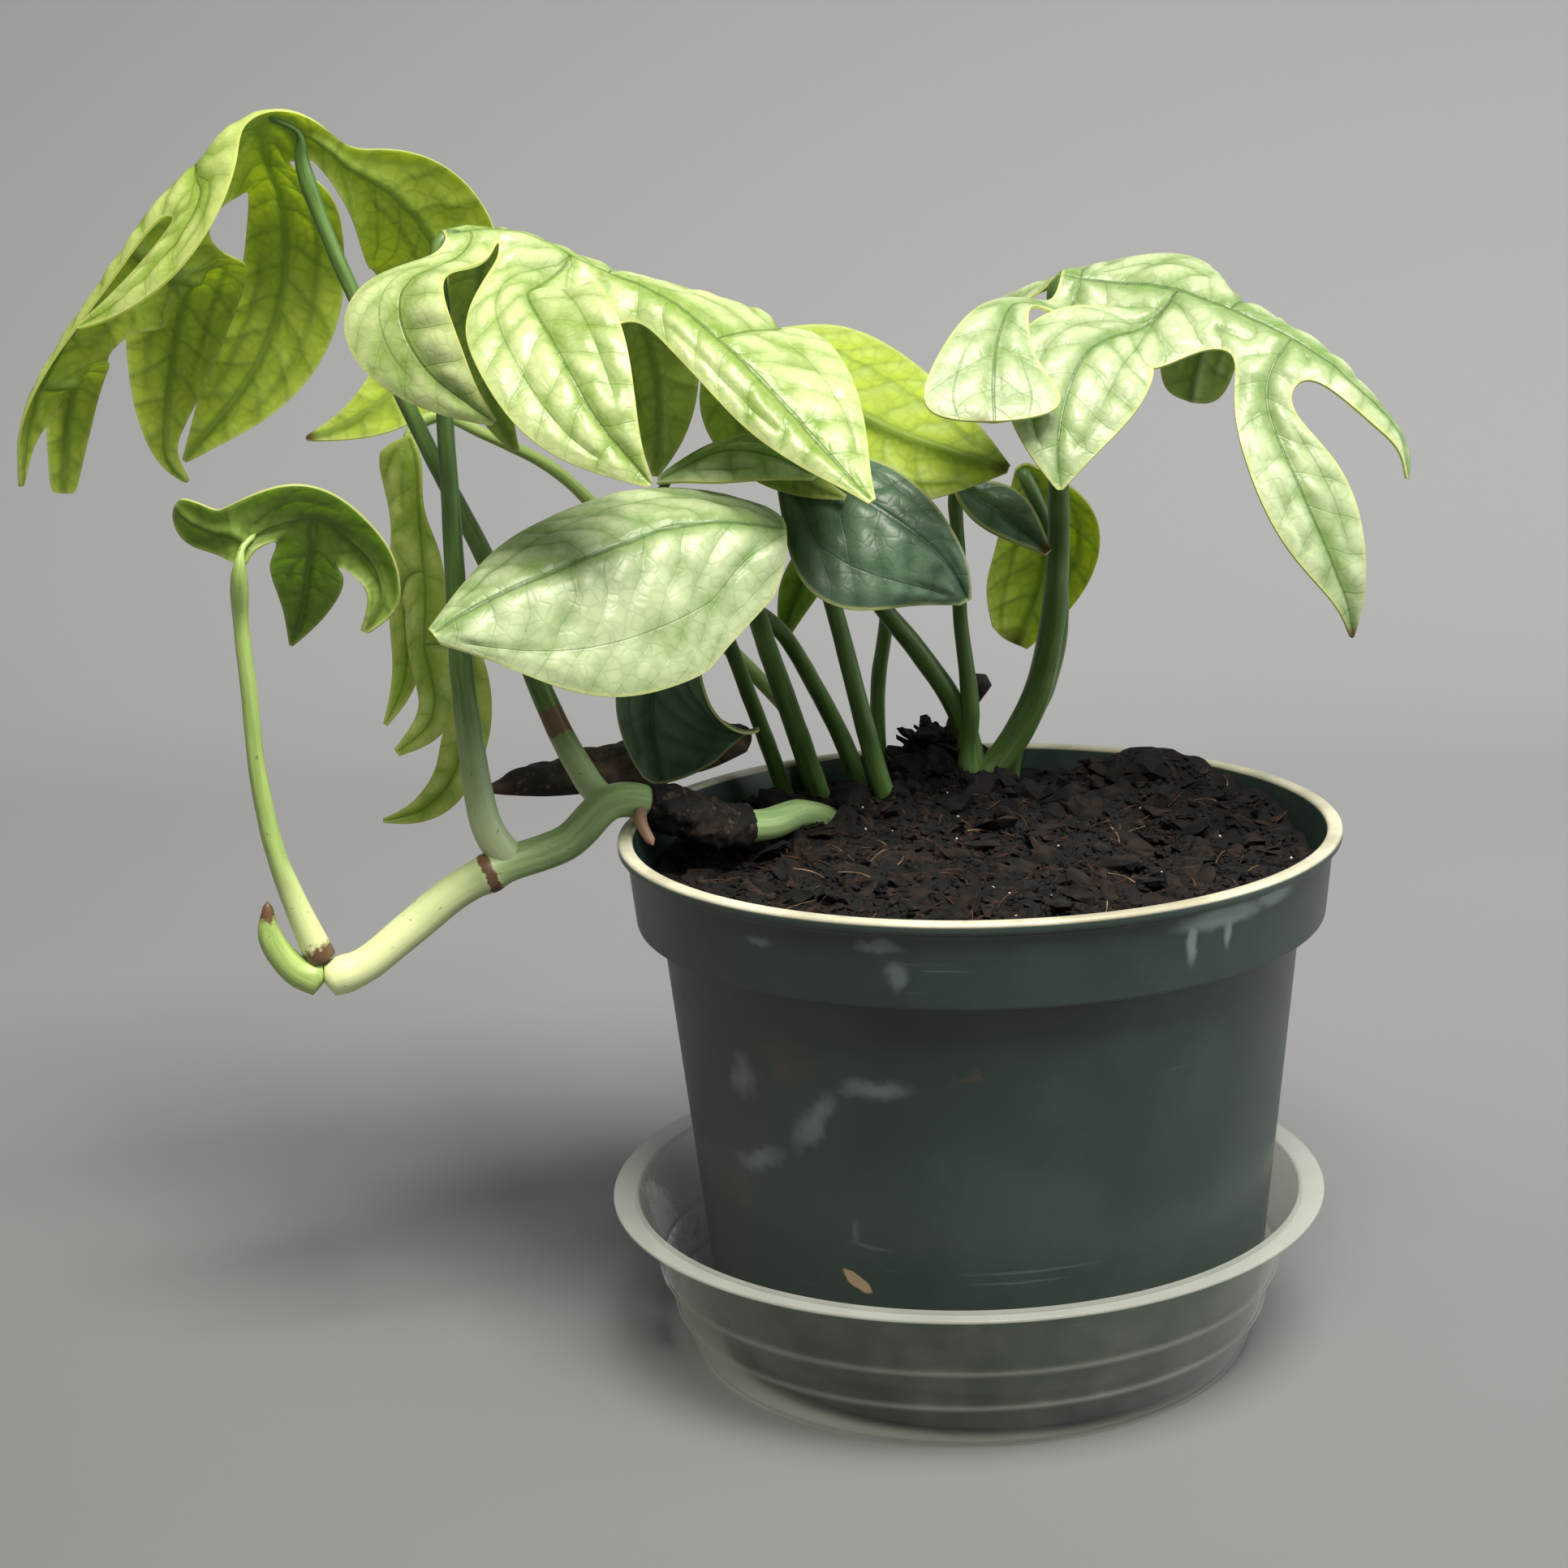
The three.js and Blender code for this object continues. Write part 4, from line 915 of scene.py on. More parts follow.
@dataclass(frozen=True)
class StemFinish:
    """A living stalk: a smooth waxy skin with fine streaks along it, paler at a node, scarred where leaves fell."""

    name: str
    body: str
    streak: str
    pale: str
    scar: str = "#6b5139"
    roughness: float = 0.4

    def material(self) -> bpy.types.Material:
        """The material, which reads how pale and how scarred the stalk is."""
        material, tree = new_material(self.name)
        grain = add(tree, "ShaderNodeAttribute", attribute_name="grain", out="Vector")
        place = add(tree, PLACE)
        long = add(tree, "ShaderNodeMapping", {0: grain, 3: (60.0, 900.0, 900.0)})
        streaks = add(tree, NOISE, long, 1.0, 3.0)
        blotches = add(tree, NOISE, place, 70.0, 3.0)
        specks = add(tree, NOISE, place, 700.0, 2.0)
        colour = add(tree, MIX, add(tree, STEP, streaks, 0.3, 0.7), self.body, self.streak)
        fade = add(tree, TIMES_PLUS, blotches, 0.6, held(tree, "pale"))
        colour = add(tree, MIX, add(tree, STEP, fade, 0.25, 1.1), colour, self.pale)
        spot = add(tree, STEP, specks, 0.68, 0.74, 0.0, 0.6)
        colour = add(tree, MIX, spot, colour, self.scar)
        torn = add(tree, TIMES_PLUS, specks, 0.8, held(tree, "scar"))
        torn = add(tree, STEP, torn, 0.62, 0.9)
        colour = add(tree, MIX, torn, colour, self.scar)
        bump = add(tree, BUMP, 0.3, 0.0004, add(tree, TIMES_PLUS, torn, 0.8, streaks))
        more = {"Subsurface Weight": 0.15, "Subsurface Radius": (0.6, 1.0, 0.3), "Subsurface Scale": 0.002}
        coat(tree, colour, self.roughness, bump, {"Specular IOR Level": 0.45, **more})
        return material


@dataclass(frozen=True)
class Stem:
    """A stalk or stem: a path from its foot to its end, and its radius along it."""

    name: str
    path: Points
    radius: list[float]
    finish: StemFinish
    slot: str
    nodes: tuple[tuple[float, float, float], ...] = ()  # swellings: where along it, how much, how long
    scars: tuple[tuple[float, float], ...] = ()  # brown scars: where along it, how long
    pale_foot: float = 0.0  # how far up its foot is pale
    pale_end: float = 0.0  # how far down from its end it is pale
    joins: str = ""  # the leaf whose midrib it runs on into


class StemMaker:
    """Makes the smooth round meshes of stalks and stems."""

    SIDES = 20
    PITCH = 1.4  # between rings
    UNEVEN = 0.12  # how far its skin swells and dips
    COLLAR = 0.15  # how much thicker it is just before its leaf
    TAPER = 0.6  # how much of its radius it loses under its leaf's midrib
    END = 1.6  # how far from an end it rounds off

    def __init__(self, leaves: dict[str, Leaf]) -> None:
        """Keeps the leaves, whose midribs the stalks join.

        Args:
            leaves: the leaves by name.
        """
        self.leaves = leaves

    def path(self, stem: Stem) -> Points:
        """The stem's path, which runs on under its leaf's midrib where it has one."""
        if not stem.joins:
            return list(stem.path)
        leaf = self.leaves[stem.joins]
        curve = Curve(leaf.rib)
        ends = []
        for share, depth in ((0.0, 1.15), (0.06, 0.8), (0.14, 0.4)):
            point, _, up = curve.frame(leaf.face, share)
            ends.append(tuple(point - up * (depth * stem.radius[-1] + 0.3)))
        return [*stem.path[:-1], *ends]

    def build(self, stem: Stem) -> bpy.types.Mesh:
        """Makes a stem's mesh.

        Args:
            stem: its description.

        Returns:
            The closed mesh, with the numbers that its material reads.
        """
        curve = Curve(self.path(stem))
        body = Curve(stem.path).length
        count = max(8, round(curve.length / self.PITCH))
        shares = np.linspace(0, 1, count + 1)
        centres = np.array([curve.point(t) for t in shares])
        aheads = np.array([curve.ahead(t) for t in shares])
        across_way = unit(np.cross(aheads[0], (0.3, 0.9, 0.2)))
        points, grains, pales, scars = [], [], [], []
        for t, centre, ahead in zip(shares, centres, aheads):
            across_way = unit(across_way - ahead * (across_way @ ahead))
            other = np.cross(ahead, across_way)
            s = t * curve.length
            radius = along(stem.radius, min(s / body, 1))
            if stem.joins:
                radius *= 1 + self.COLLAR * math.exp(-(((s - body + 6) / 4) ** 2))
                radius *= 1 - self.TAPER * smooth((s - body + 2) / max(0.7 * (curve.length - body), 1))
            for where, much, long in stem.nodes:
                radius += much * math.exp(-(((s - where * body) / long) ** 2))
            for tip in (s, curve.length - s):
                radius *= math.sqrt(max(1 - max(1 - tip / self.END, 0) ** 2, 0.02))
            pale = max(
                1 - s / stem.pale_foot if stem.pale_foot else 0,
                1 - (curve.length - s) / stem.pale_end if stem.pale_end else 0,
                *(0.6 * math.exp(-(((s - w * body) / g) ** 2)) for w, _, g in stem.nodes),
                0,
            )
            scar = max((math.exp(-(((s - w * body) / g) ** 2)) for w, g in stem.scars), default=0)
            for k in range(self.SIDES):
                angle = 2 * math.pi * k / self.SIDES
                way = across_way * math.cos(angle) + other * math.sin(angle)
                points.append(centre + way * radius)
                grains.append((s * MM, radius * MM * math.cos(angle), radius * MM * math.sin(angle)))
                pales.append(pale)
                scars.append(scar)
        points = np.array(points)
        outward = unit_rows(points - np.repeat(centres, self.SIDES, 0))
        points += self.UNEVEN * hashed_noise(points, 6.0, 2.2)[:, None] * outward
        faces = ring_faces(count + 1, self.SIDES)
        mesh = mesh_from(stem.name, points, faces)
        store(mesh, "pale", np.array(pales))
        store(mesh, "scar", np.array(scars))
        attribute = mesh.attributes.new("grain", "FLOAT_VECTOR", "POINT")
        attribute.data.foreach_set("vector", np.array(grains, np.float32).ravel())
        mesh.materials.append(stem.finish.material())
        return mesh


def unit_rows(vectors: np.ndarray) -> np.ndarray:
    """Each row at length 1."""
    return vectors / np.maximum(np.linalg.norm(vectors, axis=1, keepdims=True), 1e-9)


def ring_faces(rings: int, sides: int, closed: bool = True) -> list[list[int]]:
    """The faces of rings of corners that follow each other, with a cap at both ends.

    Args:
        rings: how many rings.
        sides: how many corners each has.
        closed: whether the ends have caps.

    Returns:
        The corners' numbers of each face.
    """
    faces = [
        [i * sides + j, i * sides + (j + 1) % sides, (i + 1) * sides + (j + 1) % sides, (i + 1) * sides + j]
        for i in range(rings - 1)
        for j in range(sides)
    ]
    if closed:
        faces.append(list(range(sides))[::-1])
        faces.append([(rings - 1) * sides + j for j in range(sides)])
    return faces


def lathe(name: str, profile: list[tuple[float, float]], sides: int, centre: float = 0.0) -> bpy.types.Mesh:
    """Turns a profile round the Z axis.

    Args:
        name: the mesh's name.
        profile: radius and height, from the axis out, up, in and back to the axis.
        sides: how many steps a turn has.
        centre: how far the axis lies from the origin, along X.

    Returns:
        The closed mesh.
    """
    inner = profile[1:-1]
    points = [(centre, 0.0, profile[0][1])]
    for radius, height in inner:
        for j in range(sides):
            angle = 2 * math.pi * j / sides
            points.append((centre + radius * math.cos(angle), radius * math.sin(angle), height))
    points.append((centre, 0.0, profile[-1][1]))
    faces = [[1 + k for k in face] for face in ring_faces(len(inner), sides, closed=False)]
    last = len(points) - 1
    for j in range(sides):
        n = (j + 1) % sides
        faces.append([0, 1 + n, 1 + j])
        faces.append([last, last - sides + j, last - sides + n])
    return mesh_from(name, np.array(points), faces)


def rounded(profile: list[tuple[float, float]], radius: float, steps: int = 3) -> list[tuple[float, float]]:
    """Rounds the corners of a profile.

    Args:
        profile: its corners.
        radius: how far from a corner its rounding begins.
        steps: how many parts a rounding has.

    Returns:
        The corners of the rounded profile.
    """
    corners = [np.array(p, float) for p in profile]
    result = [profile[0]]
    for before, corner, after in zip(corners, corners[1:], corners[2:]):
        lengths = (np.linalg.norm(before - corner), np.linalg.norm(after - corner))
        reach = min(radius, *(0.45 * length for length in lengths))
        start = corner + (before - corner) / lengths[0] * reach
        end = corner + (after - corner) / lengths[1] * reach
        for k in range(steps + 1):
            t = k / steps
            point = start * (1 - t) ** 2 + corner * 2 * t * (1 - t) + end * t * t
            result.append((float(point[0]), float(point[1])))
    result.append(profile[-1])
    return result


@dataclass(frozen=True)
class Mark:
    """A worn or stained patch, or a patch of painted reflection: its middle, how long and how high it is, and how
    many degrees it rises.
    """

    place: tuple[float, float, float]
    long: float
    high: float
    rise: float = 0.0
    DEPTH: ClassVar[float] = 16.0  # how far it reaches into the wall, and out of it


def marked(tree: bpy.types.NodeTree, marks: tuple[Mark, ...], ragged: float) -> bpy.types.NodeSocket:
    """Measures how deep in one of some patches a place lies.

    Args:
        tree: the material's node tree.
        marks: the patches.
        ragged: how far their outlines are torn, in millimetres.

    Returns:
        The socket, from 0 outside to 1 in a patch's middle.
    """
    place = add(tree, PLACE)
    torn = add(tree, NOISE, place, 260.0, 6.0, out=1)
    torn = add(tree, SHIFT, torn, (0.5, 0.5, 0.5), operation="SUBTRACT")
    torn = add(tree, SHIFT, torn, (2 * ragged * MM,) * 3, operation="MULTIPLY")
    place = add(tree, SHIFT, place, torn, operation="ADD")
    total = 0.0
    for mark in marks:
        middle = tuple(c * MM for c in mark.place)
        size = (mark.long / 2 * MM, Mark.DEPTH * MM, mark.high / 2 * MM)
        turn = (0.0, -math.radians(mark.rise), 0.0)
        local = add(tree, "ShaderNodeMapping", place, middle, turn, size, vector_type="TEXTURE")
        near = add(tree, "ShaderNodeTexGradient", local, out=1, gradient_type="SPHERICAL")
        total = add(tree, MOST, near, total)
    return total


SCUFFS = (Mark((-21, -77, 118), 18, 5), Mark((-17, -78, 111.5), 9, 12), Mark((-46, -64, 116), 10, 5))
DRIPS = (
    Mark((52, -62, 118.5), 44, 7, 1), Mark((44, -67.5, 114.5), 3.4, 15), Mark((51.8, -61.5, 115), 2.6, 12),
    Mark((62, -50, 119.5), 16, 6),
)
WISP = (
    Mark((-49, -48, 61), 22, 8, 28), Mark((-36, -60, 74), 28, 8, 60), Mark((-23, -67, 83.5), 24, 7, 4),
    Mark((-52, -46, 80), 9, 16),
)
STAINS = (Mark((-42, -57, 87), 30, 18, -20), Mark((-3, -72, 88), 12, 6), Mark((-54, -40, 52), 10, 12))
SCRATCHES = (
    Mark((10, -66, 41.5), 46, 1.1, 2), Mark((7, -66, 39), 34, 1.0, 2), Mark((-28, -61, 49), 2.4, 9),
    Mark((-25, -62, 46), 14, 1.6, -6),
)
FLECK = (Mark((-28, -60.5, 37), 9, 3.6, -38),)
# Painted reflection: bluish-white patches on the saucer's left wall that stand in for a window's reflection.
PAINTED_WINDOW_REFLECTION = (Mark((-77, 6, 26), 16, 26), Mark((-76, -16, 22), 12, 20), Mark((-74, 24, 14), 10, 14))


@dataclass
class NurseryPot:
    """The flared nursery pot: injection-moulded polypropylene, dark green, with a pale worn lip."""

    bottom: float = 1.5
    floor: float = 1.6
    foot_radius: float = 59.5
    foot_curve: tuple[tuple[float, float], ...] = ((61.6, 6.0), (64.1, 12.0))
    shoulder_radius: float = 73.3
    shoulder: float = 103.9
    band_bottom: float = 78.8
    band_top: float = 80.5
    rim_radius: float = 82.5
    rim_height: float = 2.6
    top: float = 123.8
    wall: float = 1.4
    sides: int = 192
    WEAR: ClassVar[tuple] = (
        # marks, how ragged they are, where they fade in, how strong they are, their colour
        (SCUFFS, 2.2, 0.3, 0.8, 0.5, "#7f8c87"),
        (DRIPS, 1.0, 0.1, 0.7, 0.6, "#8d9c95"),
        (WISP, 2.6, 0.1, 0.9, 0.5, "#87928d"),
        (STAINS, 8.0, 0.2, 0.9, 0.4, "#5b4636"),
        (SCRATCHES, 0.5, 0.1, 0.8, 0.3, "#6d7f76"),
        (FLECK, 0.8, 0.1, 0.3, 1.0, "#b39a78"),
    )

    def profile(self) -> list[tuple[float, float]]:
        """Radius and height of the pot's section, from the axis under its floor and back over it."""
        inside = [(r - self.wall, z) for r, z in self.foot_curve][::-1]
        return [
            (0, self.bottom),
            (self.foot_radius, self.bottom),
            *self.foot_curve,
            (self.shoulder_radius, self.shoulder),
            (self.band_bottom, self.shoulder),
            (self.band_top, self.top - self.rim_height - 0.6),
            (self.rim_radius, self.top - self.rim_height),
            (self.rim_radius, self.top),
            (self.band_top - self.wall, self.top),
            (self.band_bottom - self.wall, self.shoulder + self.wall),
            (self.shoulder_radius - self.wall, self.shoulder + self.wall),
            *inside,
            (self.foot_radius - self.wall, self.bottom + self.floor),
            (0, self.bottom + self.floor),
        ]

    def material(self) -> bpy.types.Material:
        """Moulded polypropylene: a satin skin with faint moulding haze, scuffs, dried splashes and soil stains."""
        material, tree = new_material("moulded_polypropylene")
        place = add(tree, PLACE)
        height = add(tree, PARTS, place).node.outputs[2]
        haze = add(tree, NOISE, place, 28.0, 5.0, 0.6)
        colour = add(tree, MIX, add(tree, STEP, haze, 0.35, 0.7), "#2d3b35", "#38463f")
        lip = add(tree, STEP, height, (self.top - 1.1) * MM, (self.top - 0.5) * MM)
        chalk = add(tree, MIX, add(tree, STEP, haze, 0.35, 0.65), "#a9a58c", "#dad6bd")
        colour = add(tree, MIX, lip, colour, chalk)
        stretched = add(tree, "ShaderNodeMapping", {0: place, 3: (30.0, 30.0, 900.0)})
        scratch = add(tree, STEP, add(tree, NOISE, stretched, 1.0, 5.0), 0.69, 0.76, 0.0, 0.35)
        colour = add(tree, MIX, scratch, colour, "#7f8b84")
        for marks, ragged, low, high, share, tint in self.WEAR:
            worn = add(tree, STEP, marked(tree, marks, ragged), low, high, 0.0, share)
            colour = add(tree, MIX, worn, colour, tint)
        bump = add(tree, BUMP, 0.12, 0.0003, add(tree, NOISE, place, 900.0, 2.0))
        coat(tree, colour, add(tree, STEP, haze, 0.3, 0.8, 0.34, 0.5), bump)
        return material

    def build(self) -> bpy.types.Object:
        """Makes the pot.

        Returns:
            The piece that stands for the pot's solid.
        """
        mesh = lathe("nursery_pot", rounded(self.profile(), 0.9), self.sides)
        mesh.materials.append(self.material())
        return place_piece("nursery_pot", mesh, "pot_plastic", "pot")


@dataclass
class ClearSaucer:
    """The clear saucer: thin vacuum-formed vinyl with two pressed rings and a milky lip."""

    centre: float = -4.3
    bottom_radius: float = 65.5
    lip_inner: float = 78.3
    lip_outer: float = 83.3
    height: float = 37.7
    wall: float = 0.8
    ridges: tuple[float, ...] = (11.0, 20.5)
    ridge_out: float = 0.7
    ridge_half: float = 1.1
    sides: int = 192

    def radius_at(self, z: float) -> float:
        """The radius of its wall's outside at a height."""
        return self.bottom_radius + (self.lip_inner - self.bottom_radius) * z / (self.height - self.wall)

    def ring(self, z: float, inward: float) -> list[tuple[float, float]]:
        """The section of a pressed ring at a height, on the outside or that far inward."""
        half = self.ridge_half
        return [
            (self.radius_at(z - half) - inward, z - half),
            (self.radius_at(z) + self.ridge_out - inward, z),
            (self.radius_at(z + half) - inward, z + half),
        ]

    def profile(self) -> list[tuple[float, float]]:
        """Radius and height of the saucer's section."""
        wall, under = self.wall, self.height - self.wall
        outside = [point for z in self.ridges for point in self.ring(z, 0.0)]
        inside = [point for z in self.ridges for point in self.ring(z, wall)][::-1]
        return [
            (0, 0),
            (self.bottom_radius - 0.8, 0),
            (self.bottom_radius, 0.8),
            *outside,
            (self.lip_inner, under),
            (self.lip_outer, under),
            (self.lip_outer, self.height),
            (self.lip_inner - wall, self.height),
            *inside,
            (self.bottom_radius - wall, wall + 0.4),
            (self.bottom_radius - wall - 0.8, wall),
            (0, wall),
        ]

    def material(self) -> bpy.types.Material:
        """Thin clear vinyl: it lets most light straight through, with a milky haze, dust, sharp glints and a painted
        bluish-white window reflection inside on the left.
        """
        material, tree = new_material("clear_vinyl")
        place = add(tree, PLACE)
        height = add(tree, PARTS, place).node.outputs[2]
        haze_and_painted_reflection = add(tree, STEP, add(tree, NOISE, place, 60.0, 6.0, 0.7), 0.35, 0.8, 0.02, 0.09)
        lip = add(tree, STEP, height, (self.height - 1.6) * MM, (self.height - 0.9) * MM, 0.0, 0.2)
        haze_and_painted_reflection = add(tree, PLUS, haze_and_painted_reflection, lip)
        for ridge in self.ridges:
            away = add(tree, SIZE, add(tree, MINUS, height, ridge * MM))
            haze_and_painted_reflection = add(tree, PLUS, haze_and_painted_reflection, add(tree, STEP, away, 0.1 * MM, 0.8 * MM, 0.14, 0.0))
        # Painted reflection: these patches lighten the vinyl and tint it bluish-white, as a window's reflection
        # would.
        painted_reflection = add(tree, STEP, marked(tree, PAINTED_WINDOW_REFLECTION, 9.0), 0.1, 0.6, 0.0, 0.55)
        haze_and_painted_reflection = add(tree, PLUS, haze_and_painted_reflection, painted_reflection)
        tint = add(tree, MIX, painted_reflection, "#d4d6ce", "#eef2ff")
        skin = {"Base Color": tint, "Roughness": 0.16, "Specular IOR Level": 0.5}
        skin = add(tree, "ShaderNodeBsdfPrincipled", skin)
        clear = add(tree, "ShaderNodeBsdfTransparent", "#f4f6f2")
        gloss = add(tree, "ShaderNodeLayerWeight", 0.5, out="Facing")
        gloss = add(tree, MATH, gloss, 4.0, operation="POWER")
        gloss = add(tree, TIMES_PLUS, gloss, 0.5, 0.03)
        share = add(tree, PLUS, gloss, haze_and_painted_reflection, use_clamp=True)
        both = add(tree, "ShaderNodeMixShader", share, clear, skin)
        add(tree, "ShaderNodeOutputMaterial", {"Surface": both})
        return material

    def build(self) -> bpy.types.Object:
        """Makes the saucer.

        Returns:
            The piece that stands for the saucer's solid.
        """
        mesh = lathe("clear_saucer", rounded(self.profile(), 0.5), self.sides, self.centre)
        mesh.materials.append(self.material())
        return place_piece("clear_saucer", mesh, "clear_plastic", "saucer")


@dataclass(frozen=True)
class Mound:
    """A mound or a hollow of the soil: where it is, how far it spreads and how high it is."""

    x: float
    y: float
    spread: float
    height: float


@dataclass
class PottingMix:
    """Moist peat with composted bark: a crumbly dark surface with fibres, bark chips and a few white grains."""

    pot: NurseryPot
    level: float = 117.0
    radius: float = 77.0
    clearance: float = 0.4
    lump: float = 1.3
    rings: int = 78
    sides: int = 300
    mounds: tuple[Mound, ...] = (
        Mound(-60, 8, 22, -9),
        Mound(52, 10, 26, -5),
        Mound(0, -62, 40, 3),
        Mound(-24, 34, 12, 3),
        Mound(-10, 66, 10, 17),
        Mound(4, 58, 7, 3),
        Mound(46, 60, 20, 9.5),
        Mound(62, 28, 16, 5),
    )

    def surface(self, x: float, y: float) -> float:
        """The height of the soil's mean surface."""
        mounds = sum(
            m.height * math.exp(-((x - m.x) ** 2 + (y - m.y) ** 2) / m.spread**2) for m in self.mounds
        )
        lumps = math.sin(0.33 * x + 1.3 * math.sin(0.21 * y)) * math.cos(0.29 * y + math.sin(0.27 * x))
        return self.level + mounds + self.lump * lumps

    def crumbs(self, points: np.ndarray) -> np.ndarray:
        """How far crumbs and lumps stand above the mean surface."""
        lumps = hashed_noise(points, 7.0, 4.0) + hashed_noise(points, 15.0, 8.0)
        crumbs = np.abs(hashed_noise(points, 3.0, 9.0))
        grit = hashed_noise(points, 1.3, 2.0)
        return 1.5 * lumps + 1.6 * crumbs + 0.35 * grit - 0.4

    def mesh(self) -> bpy.types.Mesh:
        """The closed body of the mix, with a fine crumbly top."""
        pot, gap = self.pot, self.clearance
        ledge = pot.shoulder + pot.wall + gap
        profile = [(0.0, pot.bottom + pot.floor + gap)]
        profile.append((pot.foot_radius - pot.wall - gap, pot.bottom + pot.floor + gap))
        profile.append((pot.foot_curve[1][0] - pot.wall - gap, pot.foot_curve[1][1]))
        profile.append((pot.shoulder_radius - pot.wall - gap, ledge))
        profile.append((pot.band_bottom - pot.wall - gap, ledge))
        lower = len(profile) - 1
        profile += [(self.radius * (1 - k / self.rings), self.level) for k in range(self.rings)]
        profile.append((0.0, self.level))
        mesh = lathe("potting_mix", profile, self.sides)
        points = np.empty(len(mesh.vertices) * 3)
        mesh.vertices.foreach_get("co", points)
        points = points.reshape(-1, 3) / MM
        top = slice(1 + lower * self.sides, None)
        upper = points[top]
        upper[:, 2] = [self.surface(x, y) for x, y, _ in upper]
        edge = np.clip((self.radius - np.hypot(upper[:, 0], upper[:, 1])) / 3, 0, 1)
        upper[:, 2] += self.crumbs(upper) * (0.35 + 0.65 * edge)
        points[top] = upper
        mesh.vertices.foreach_set("co", (points * MM).ravel())
        mesh.update()
        return mesh

    def material(self) -> bpy.types.Material:
        """Moist peat: near black-brown and matt, with reddish fibres and damp glints on the crumbs."""
        material, tree = new_material("moist_peat")
        place = add(tree, PLACE)
        clods = add(tree, NOISE, place, 160.0, 8.0, 0.7)
        grit = add(tree, NOISE, place, 900.0, 4.0)
        colour = add(tree, MIX, add(tree, STEP, clods, 0.38, 0.72), "#040302", "#0f0b09")
        colour = add(tree, MIX, add(tree, STEP, grit, 0.6, 0.78, 0.0, 0.4), colour, "#3a281d")
        bump = add(tree, BUMP, 1.0, 0.0012, add(tree, TIMES_PLUS, grit, 0.6, clods))
        rough = add(tree, STEP, clods, 0.35, 0.7, 0.65, 0.95)
        coat(tree, colour, rough, bump, {"Specular IOR Level": 0.3})
        return material

    def build(self) -> bpy.types.Object:
        """Makes the body of the mix, and the loose bits on it.

        Returns:
            The piece that stands for the soil's solid.
        """
        mesh = self.mesh()
        tree = scatter_tree()
        for bits in LITTER:
            bits.build(mesh, tree)
        mesh.materials.append(self.material())
        return place_piece("potting_mix", mesh, "potting_mix", "soil")


class Shape(Enum):
    """What a loose bit is before it is scaled: a lump or a bent thread, both one unit long."""

    LUMP = False
    THREAD = True


def scatter_tree() -> bpy.types.NodeTree:
    """Makes the Geometry Nodes tree that spreads lumps or threads over the top of a mesh.

    Returns:
        The tree, whose inputs say how many bits there are and what they are like.
    """
    tree = bpy.data.node_groups.new("scatter_bits", "GeometryNodeTree")
    for kind, names in (
        ("Geometry", "Ground"), ("Float", "Density"), ("Int", "Seed"), ("Vector", "Smallest Largest"),
        ("Float", "Behind Above Within"), ("Bool", "Thread"), ("Int", "Fineness"), ("Float", "Raggedness"),
        ("Material", "Material"),
    ):
        for name in names.split():
            tree.interface.new_socket(name, in_out="INPUT", socket_type="NodeSocket" + kind)
    tree.interface.new_socket("Bits", in_out="OUTPUT", socket_type="NodeSocketGeometry")
    given = add(tree, "NodeGroupInput").node.outputs
    place = add(tree, "GeometryNodeInputPosition")
    _, y, z = add(tree, PARTS, place).node.outputs
    out = add(tree, SHIFT, place, (1.0, 1.0, 0.0), operation="MULTIPLY")
    out = add(tree, SHIFT, out, out="Value", operation="LENGTH")
    chosen = add(tree, "FunctionNodeCompare", out, given["Within"], operation="LESS_THAN")
    for value, limit in ((z, "Above"), (y, "Behind")):
        past = add(tree, "FunctionNodeCompare", value, given[limit], operation="GREATER_THAN")
        chosen = add(tree, "FunctionNodeBooleanMath", chosen, past, operation="AND")
    seed = {"Seed": given["Seed"]}
    inputs = {"Mesh": given["Ground"], "Selection": chosen, "Density": given["Density"], **seed}
    points = add(tree, "GeometryNodeDistributePointsOnFaces", inputs)
    lump = add(tree, "GeometryNodeMeshIcoSphere", {"Radius": 0.5, "Subdivisions": given["Fineness"]})
    ends = {"Start": (-0.5, 0.0, 0.0), "Middle": (0.1, 0.35, 0.12), "End": (0.5, 0.0, 0.0)}
    bent = add(tree, "GeometryNodeCurveQuadraticBezier", {"Resolution": 7, **ends})
    ring = add(tree, "GeometryNodeCurvePrimitiveCircle", {"Resolution": 4, "Radius": 0.018})
    thread = add(tree, "GeometryNodeCurveToMesh", {"Curve": bent, "Profile Curve": ring, "Fill Caps": True})
    choice = {"Switch": given["Thread"], "False": lump, "True": thread}
    shape = add(tree, "GeometryNodeSwitch", choice, input_type="GEOMETRY")
    turn = {0: (-0.7, -0.7, 0.0), 1: (0.7, 0.7, math.tau), **seed}
    turn = add(tree, "FunctionNodeRandomValue", turn, data_type="FLOAT_VECTOR")
    size = {0: given["Smallest"], 1: given["Largest"], **seed}
    size = add(tree, "FunctionNodeRandomValue", size, data_type="FLOAT_VECTOR")
    inputs = {"Points": points, "Instance": shape, "Rotation": turn, "Scale": size}
    real = add(tree, "GeometryNodeRealizeInstances", add(tree, "GeometryNodeInstanceOnPoints", inputs))
    torn = add(tree, NOISE, place, 320.0, 2.0, out=1)
    torn = add(tree, SHIFT, torn, (0.5, 0.5, 0.5), operation="SUBTRACT")
    torn = add(tree, SHIFT, {0: torn, "Scale": given["Raggedness"]}, operation="SCALE")
    real = add(tree, "GeometryNodeSetPosition", {"Geometry": real, "Offset": torn})
    real = add(tree, "GeometryNodeSetMaterial", {"Geometry": real, "Material": given["Material"]})
    add(tree, "NodeGroupOutput", real)
    return tree


